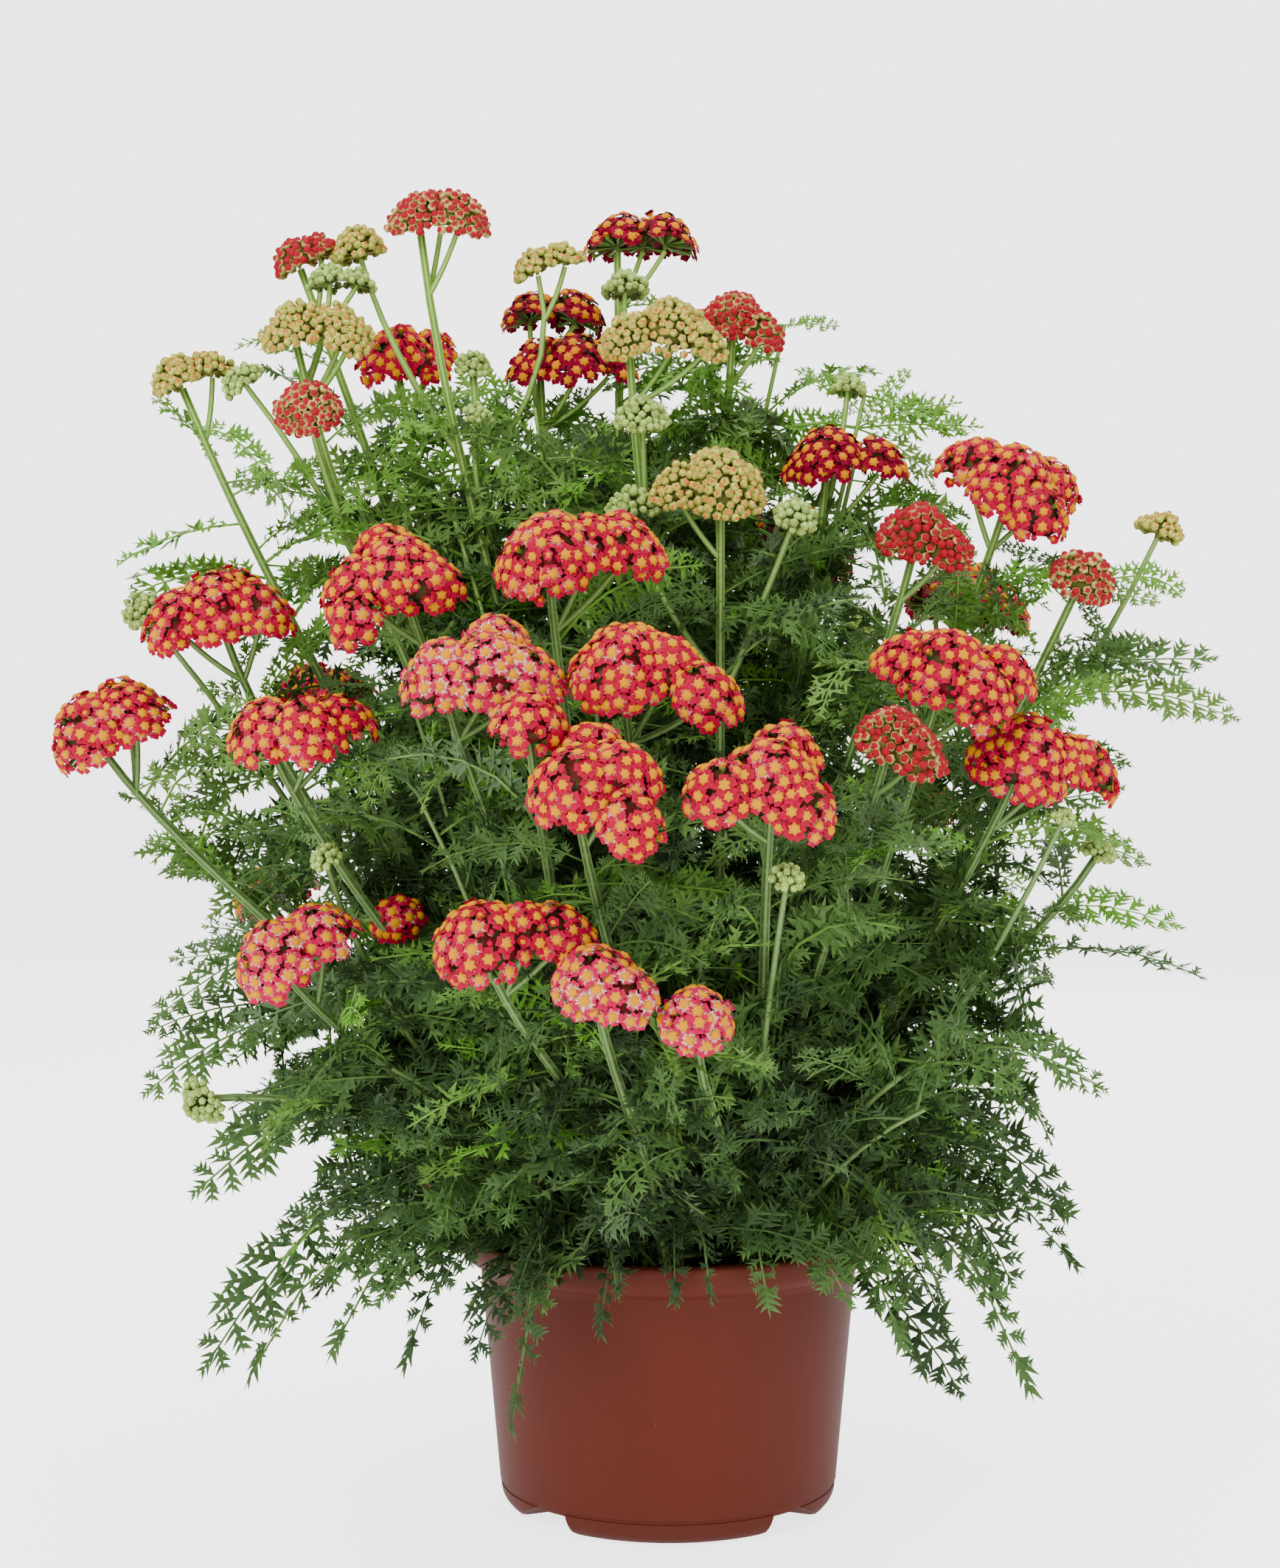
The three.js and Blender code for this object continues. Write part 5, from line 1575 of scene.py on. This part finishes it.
def makePotMaterial():
    material, wire = newMaterial("potPlastic")
    place = wire.node("TexCoord", {}, {}, 3)
    broad, flecks, grain = wire.noise(place, 9.0), wire.noise(place, 900.0, 1), wire.noise(place, 2600.0)
    streaks = wire.noise(wire.node("Mapping", {}, {"Vector": place, "Scale": (60, 60, 4)}), 1.0, 3)
    body = broad.tint(0.3, 0.7, 0.5, (89, 36, 25), (95, 40, 29))
    body = streaks.tint(0.5, 0.75, 0.16, body, (106, 52, 40))
    # Darker towards the bottom, over the lowest 2 cm.
    body = ((1 - place.part(2).smooth(0.0, 0.02)) * 0.18).blend(body, (70, 36, 26))
    base = flecks.tint(0.72, 0.78, 0.5, body, (118, 68, 54))
    rough = 0.44 + broad.smooth(0.3, 0.8) * 0.08 + streaks * 0.06
    relief = wire.bump(grain, 0.12, 0.0004)
    return finishMaterial(material, base=base, rough=rough, normal=relief, specular=0.12)


def inMetres(rings):
    return [(radius * metre, z * metre) for radius, z in rings]


def makePotShell():
    wall, floor, height, rim = pot["wall"], pot["floor"], pot["height"], pot["rimRadius"]
    bandFoot, mouth = height - pot["bandHeight"], innerRadius(height)

    def outer(z):
        return innerRadius(z) + wall

    low, high, deep = potFinish["groove"]
    rings = [(74.5, floor), (76.2, floor + 0.2), (outer(low) - deep, low), (outer(high) - deep, high)]
    rings += [(outer(z), z) for z in (high + 0.7, 14, 20, 40, 60, 80, 100, bandFoot - 5, bandFoot - 2.4)]
    rings += [(outer(bandFoot) + 0.5, bandFoot - 1.5)]
    rings += [(rim - back, bandFoot + z)
              for back, z in ((5.2, -0.7), (3.4, 0.5), (2, 2.2), (1.1, 4.4), (0.5, 7.2))]
    rings += [(rim - back, height - z)
              for back, z in ((0.1, 2.6), (0.2, 1.1), (0.8, 0.3), (1.7, 0), (5.5, 0))]
    rings += [(mouth + 1.2, height - 0.3), (mouth + 0.3, height - 1.2)]
    rings += [(innerRadius(z), z) for z in (height - 3, 100, 70, 40, 16)]
    rings += [(innerRadius(11) - 2, floor + wall), (30, floor + wall), (4, floor + wall)]
    return turnedForm(inMetres(rings), potFinish["facets"], "potShell")


# A foot leans inwards and is narrower where it stands.
def makeFoot(azimuth, below, above):
    footRadius, depth, top = potFinish["footRadius"], potFinish["footDepth"], pot["floor"] + 1
    piece = added(bpy.ops.mesh.primitive_plane_add, size=2)
    outerTop = pot["baseRadius"] - 0.2
    for vertex in piece.data.vertices:
        isTop, isOuter = vertex.co.y > 0, vertex.co.x > 0
        radius = (outerTop if isTop else footRadius) - (0 if isOuter else depth)
        vertex.co = (radius * metre, 0, (top if isTop else 0) * metre)
    startEdit()
    bpy.ops.mesh.subdivide(number_cuts=4)
    bpy.ops.mesh.spin(steps=18, angle=math.radians(2 * above), center=(0, 0, 0), axis=(0, 0, 1),
                      use_auto_merge=False)
    endEdit()
    turns = [math.atan2(vertex.co.y, vertex.co.x) for vertex in piece.data.vertices]
    middle = (min(turns) + max(turns)) / 2
    for vertex, turn in zip(piece.data.vertices, turns):
        radius, z = vertex.co.xy.length, vertex.co.z
        rise = min(1, z / (top * metre))
        bulge = math.sin(math.pi / 2 * rise ** 0.6) - rise  # the outside is curved
        radius += (outerTop - footRadius) * bulge * metre
        angle = math.radians(azimuth) + (turn - middle) * lerp(below, above, rise) / above
        vertex.co = (radius * math.cos(angle), radius * math.sin(angle), z)
    return piece


def makePot():
    shell = makePotShell()
    feet = [makeFoot(*foot) for foot in potFinish["feet"]]
    boss = turnedForm(inMetres([(13, 0), (13.4, 0.6), (14, 9.8)]), 40, "boss")
    selectOnly(shell, boss, *feet)
    bpy.ops.object.join()
    drills = []
    for k in range(potFinish["drains"]):
        place = onCompass(90 * (k + 0.5), potFinish["drainDistance"], pot["floor"]) * metre
        drills.append(added(bpy.ops.mesh.primitive_cylinder_add, vertices=28, depth=0.02,
                            radius=potFinish["drainRadius"] * metre, location=place))
        cut = shell.modifiers.new("drain", "BOOLEAN")
        cut.operation, cut.solver, cut.object = "DIFFERENCE", "EXACT", drills[-1]
    selectOnly(shell)
    for cut in list(shell.modifiers):
        bpy.ops.object.modifier_apply(modifier=cut.name)
    for drill in drills:
        bpy.data.objects.remove(drill)
    bpy.ops.object.shade_smooth_by_angle(angle=math.radians(35))
    shell.name = shell.data.name = "plasticPot"
    shell.data.materials.clear()
    shell.data.materials.append(makePotMaterial())
    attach(shell, "root")
    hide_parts("pot")


makePot()
print("pot made")

# Soil

soil = {"facets": 60, "roughness": 1.6, "crumbs": 260, "crumbSize": (0.9, 2.6), "fibres": 70, "low": 11.35,
        "gap": 1.2, "surface": 112.9}


def makeSoilMaterial():
    material, wire = newMaterial("peat")
    place = wire.node("TexCoord", {}, {}, 3)
    grain, patches = wire.noise(place, 420.0, 4), wire.noise(place, 60.0)
    body = grain.smooth(0.35, 0.65).blend((30, 22, 16), (66, 50, 38))
    base = patches.tint(0.55, 0.7, 0.35, body, (96, 76, 54))
    return finishMaterial(material, base=base, rough=0.95, normal=wire.bump(grain, 0.6, 0.001), specular=0.15)


def makeSoil():
    rings = [(innerRadius(z) - soil["gap"], z) for z in (soil["low"], 60, 109)]
    edge = innerRadius(soilTop)
    rings += [(edge - 2.5, 111), (edge - 5, 112.4), (edge - 8, 112.8)]
    rings += [((edge - 8) * (1 - k / 24), soil["surface"]) for k in range(1, 23)]
    piece = turnedForm(inMetres(rings), soil["facets"], "peatBall")
    for vertex in piece.data.vertices:
        if vertex.co.z > 0.110:
            lumps = noise.noise(vertex.co * 160) + 0.6 * noise.noise(vertex.co * 420)
            vertex.co.z += lumps * soil["roughness"] * metre
    piece.data.materials.append(makeSoilMaterial())
    selectOnly(piece)
    bpy.ops.object.shade_smooth_by_angle(angle=math.radians(60))
    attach(piece, "root")
    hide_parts("soil")


# A crumb is a ball knocked out of shape.
def makeCrumb(seed):
    piece = added(bpy.ops.mesh.primitive_ico_sphere_add, subdivisions=1, radius=1)
    for vertex in piece.data.vertices:
        vertex.co *= 1 + 0.7 * noise.noise(vertex.co * 1.7 + Vector((seed, 0, 0)))
    return takeUnit(piece, lambda p: (np.sign(p[:, 0]), np.clip(0.5 + 0.5 * p[:, 2], 0, 1)))


def makeCrumbMaterial():
    material, wire = newMaterial("crumbs")
    tone, along = mapOf(wire)
    body = tone.ramp((0, (26, 18, 12)), (0.5, (58, 42, 30)), (0.8, (96, 72, 48)), (0.86, (70, 92, 34)),
                     (1, (104, 128, 48)))
    base = along.tint(0.2, 0.9, 0.3, body, (110, 92, 66))
    return finishMaterial(material, base=base, rough=0.95, specular=0.1)


# Crumbs of peat and moss, and fibres, lie over the soil.
def makeCrumbs():
    pick = random.Random(820)
    crumbs = [makeCrumb(2.7 * k) for k in range(4)]
    bunch = Bunch()
    edge = innerRadius(soilTop) - 4
    for k in range(soil["crumbs"]):
        out = edge * math.sqrt(pick.random())
        size = pick.uniform(*soil["crumbSize"])
        shape = pick.choice(crumbs)
        turn = turnAbout(zAxis, pick.uniform(0, 360)) @ turnAbout(xAxis, pick.uniform(-40, 40))
        place = onCompass(pick.uniform(0, 360), out, soil["surface"] + 0.2 * size)
        points = shape.points * (size, size * pick.uniform(0.6, 1), size * 0.6) @ turn.T + place
        isMoss = out > 0.78 * edge and pick.random() < 0.4
        bunch.add(shape, points, tone=pick.uniform(0.88, 1) if isMoss else pick.uniform(0, 0.78))
    for k in range(soil["fibres"]):
        start = onCompass(pick.uniform(0, 360), edge * math.sqrt(pick.random()), soil["surface"] + 0.5)
        end = start + onCompass(pick.uniform(0, 360), pick.uniform(6, 14), pick.uniform(-0.3, 1.5))
        end[:2] *= min(1, edge / math.hypot(end[0], end[1]))
        line = bezier([start, lerp(start, end, 0.5) + onCompass(pick.uniform(0, 360), 3, 1.5), end], 4)
        bunch.add(twig, bent(twig.points, line, across=0.3), tone=pick.uniform(0.6, 0.78))
    bunch.makePiece("peatCrumbs", [makeCrumbMaterial()])


makeSoil()
makeCrumbs()
print("soil made")


# The floor is one wide flat plane.
def makeFloor():
    floor = added(bpy.ops.mesh.primitive_plane_add, size=studio["floorSize"], location=(0, 0, -0.0004))
    floor.name = "floor"
    material, _ = newMaterial("paleFloor")
    white = (1, 1, 1, 1)
    finishMaterial(material, base=colour(246, 246, 246), rough=0.9, specular=0.1, glowColour=white)
    floor.data.materials.append(material)
    shader = material.node_tree.nodes["Principled BSDF"]
    glowFor(material.node_tree, studio["floorGlow"], studio["floorSeen"], shader.inputs["Emission Strength"])


makeFloor()
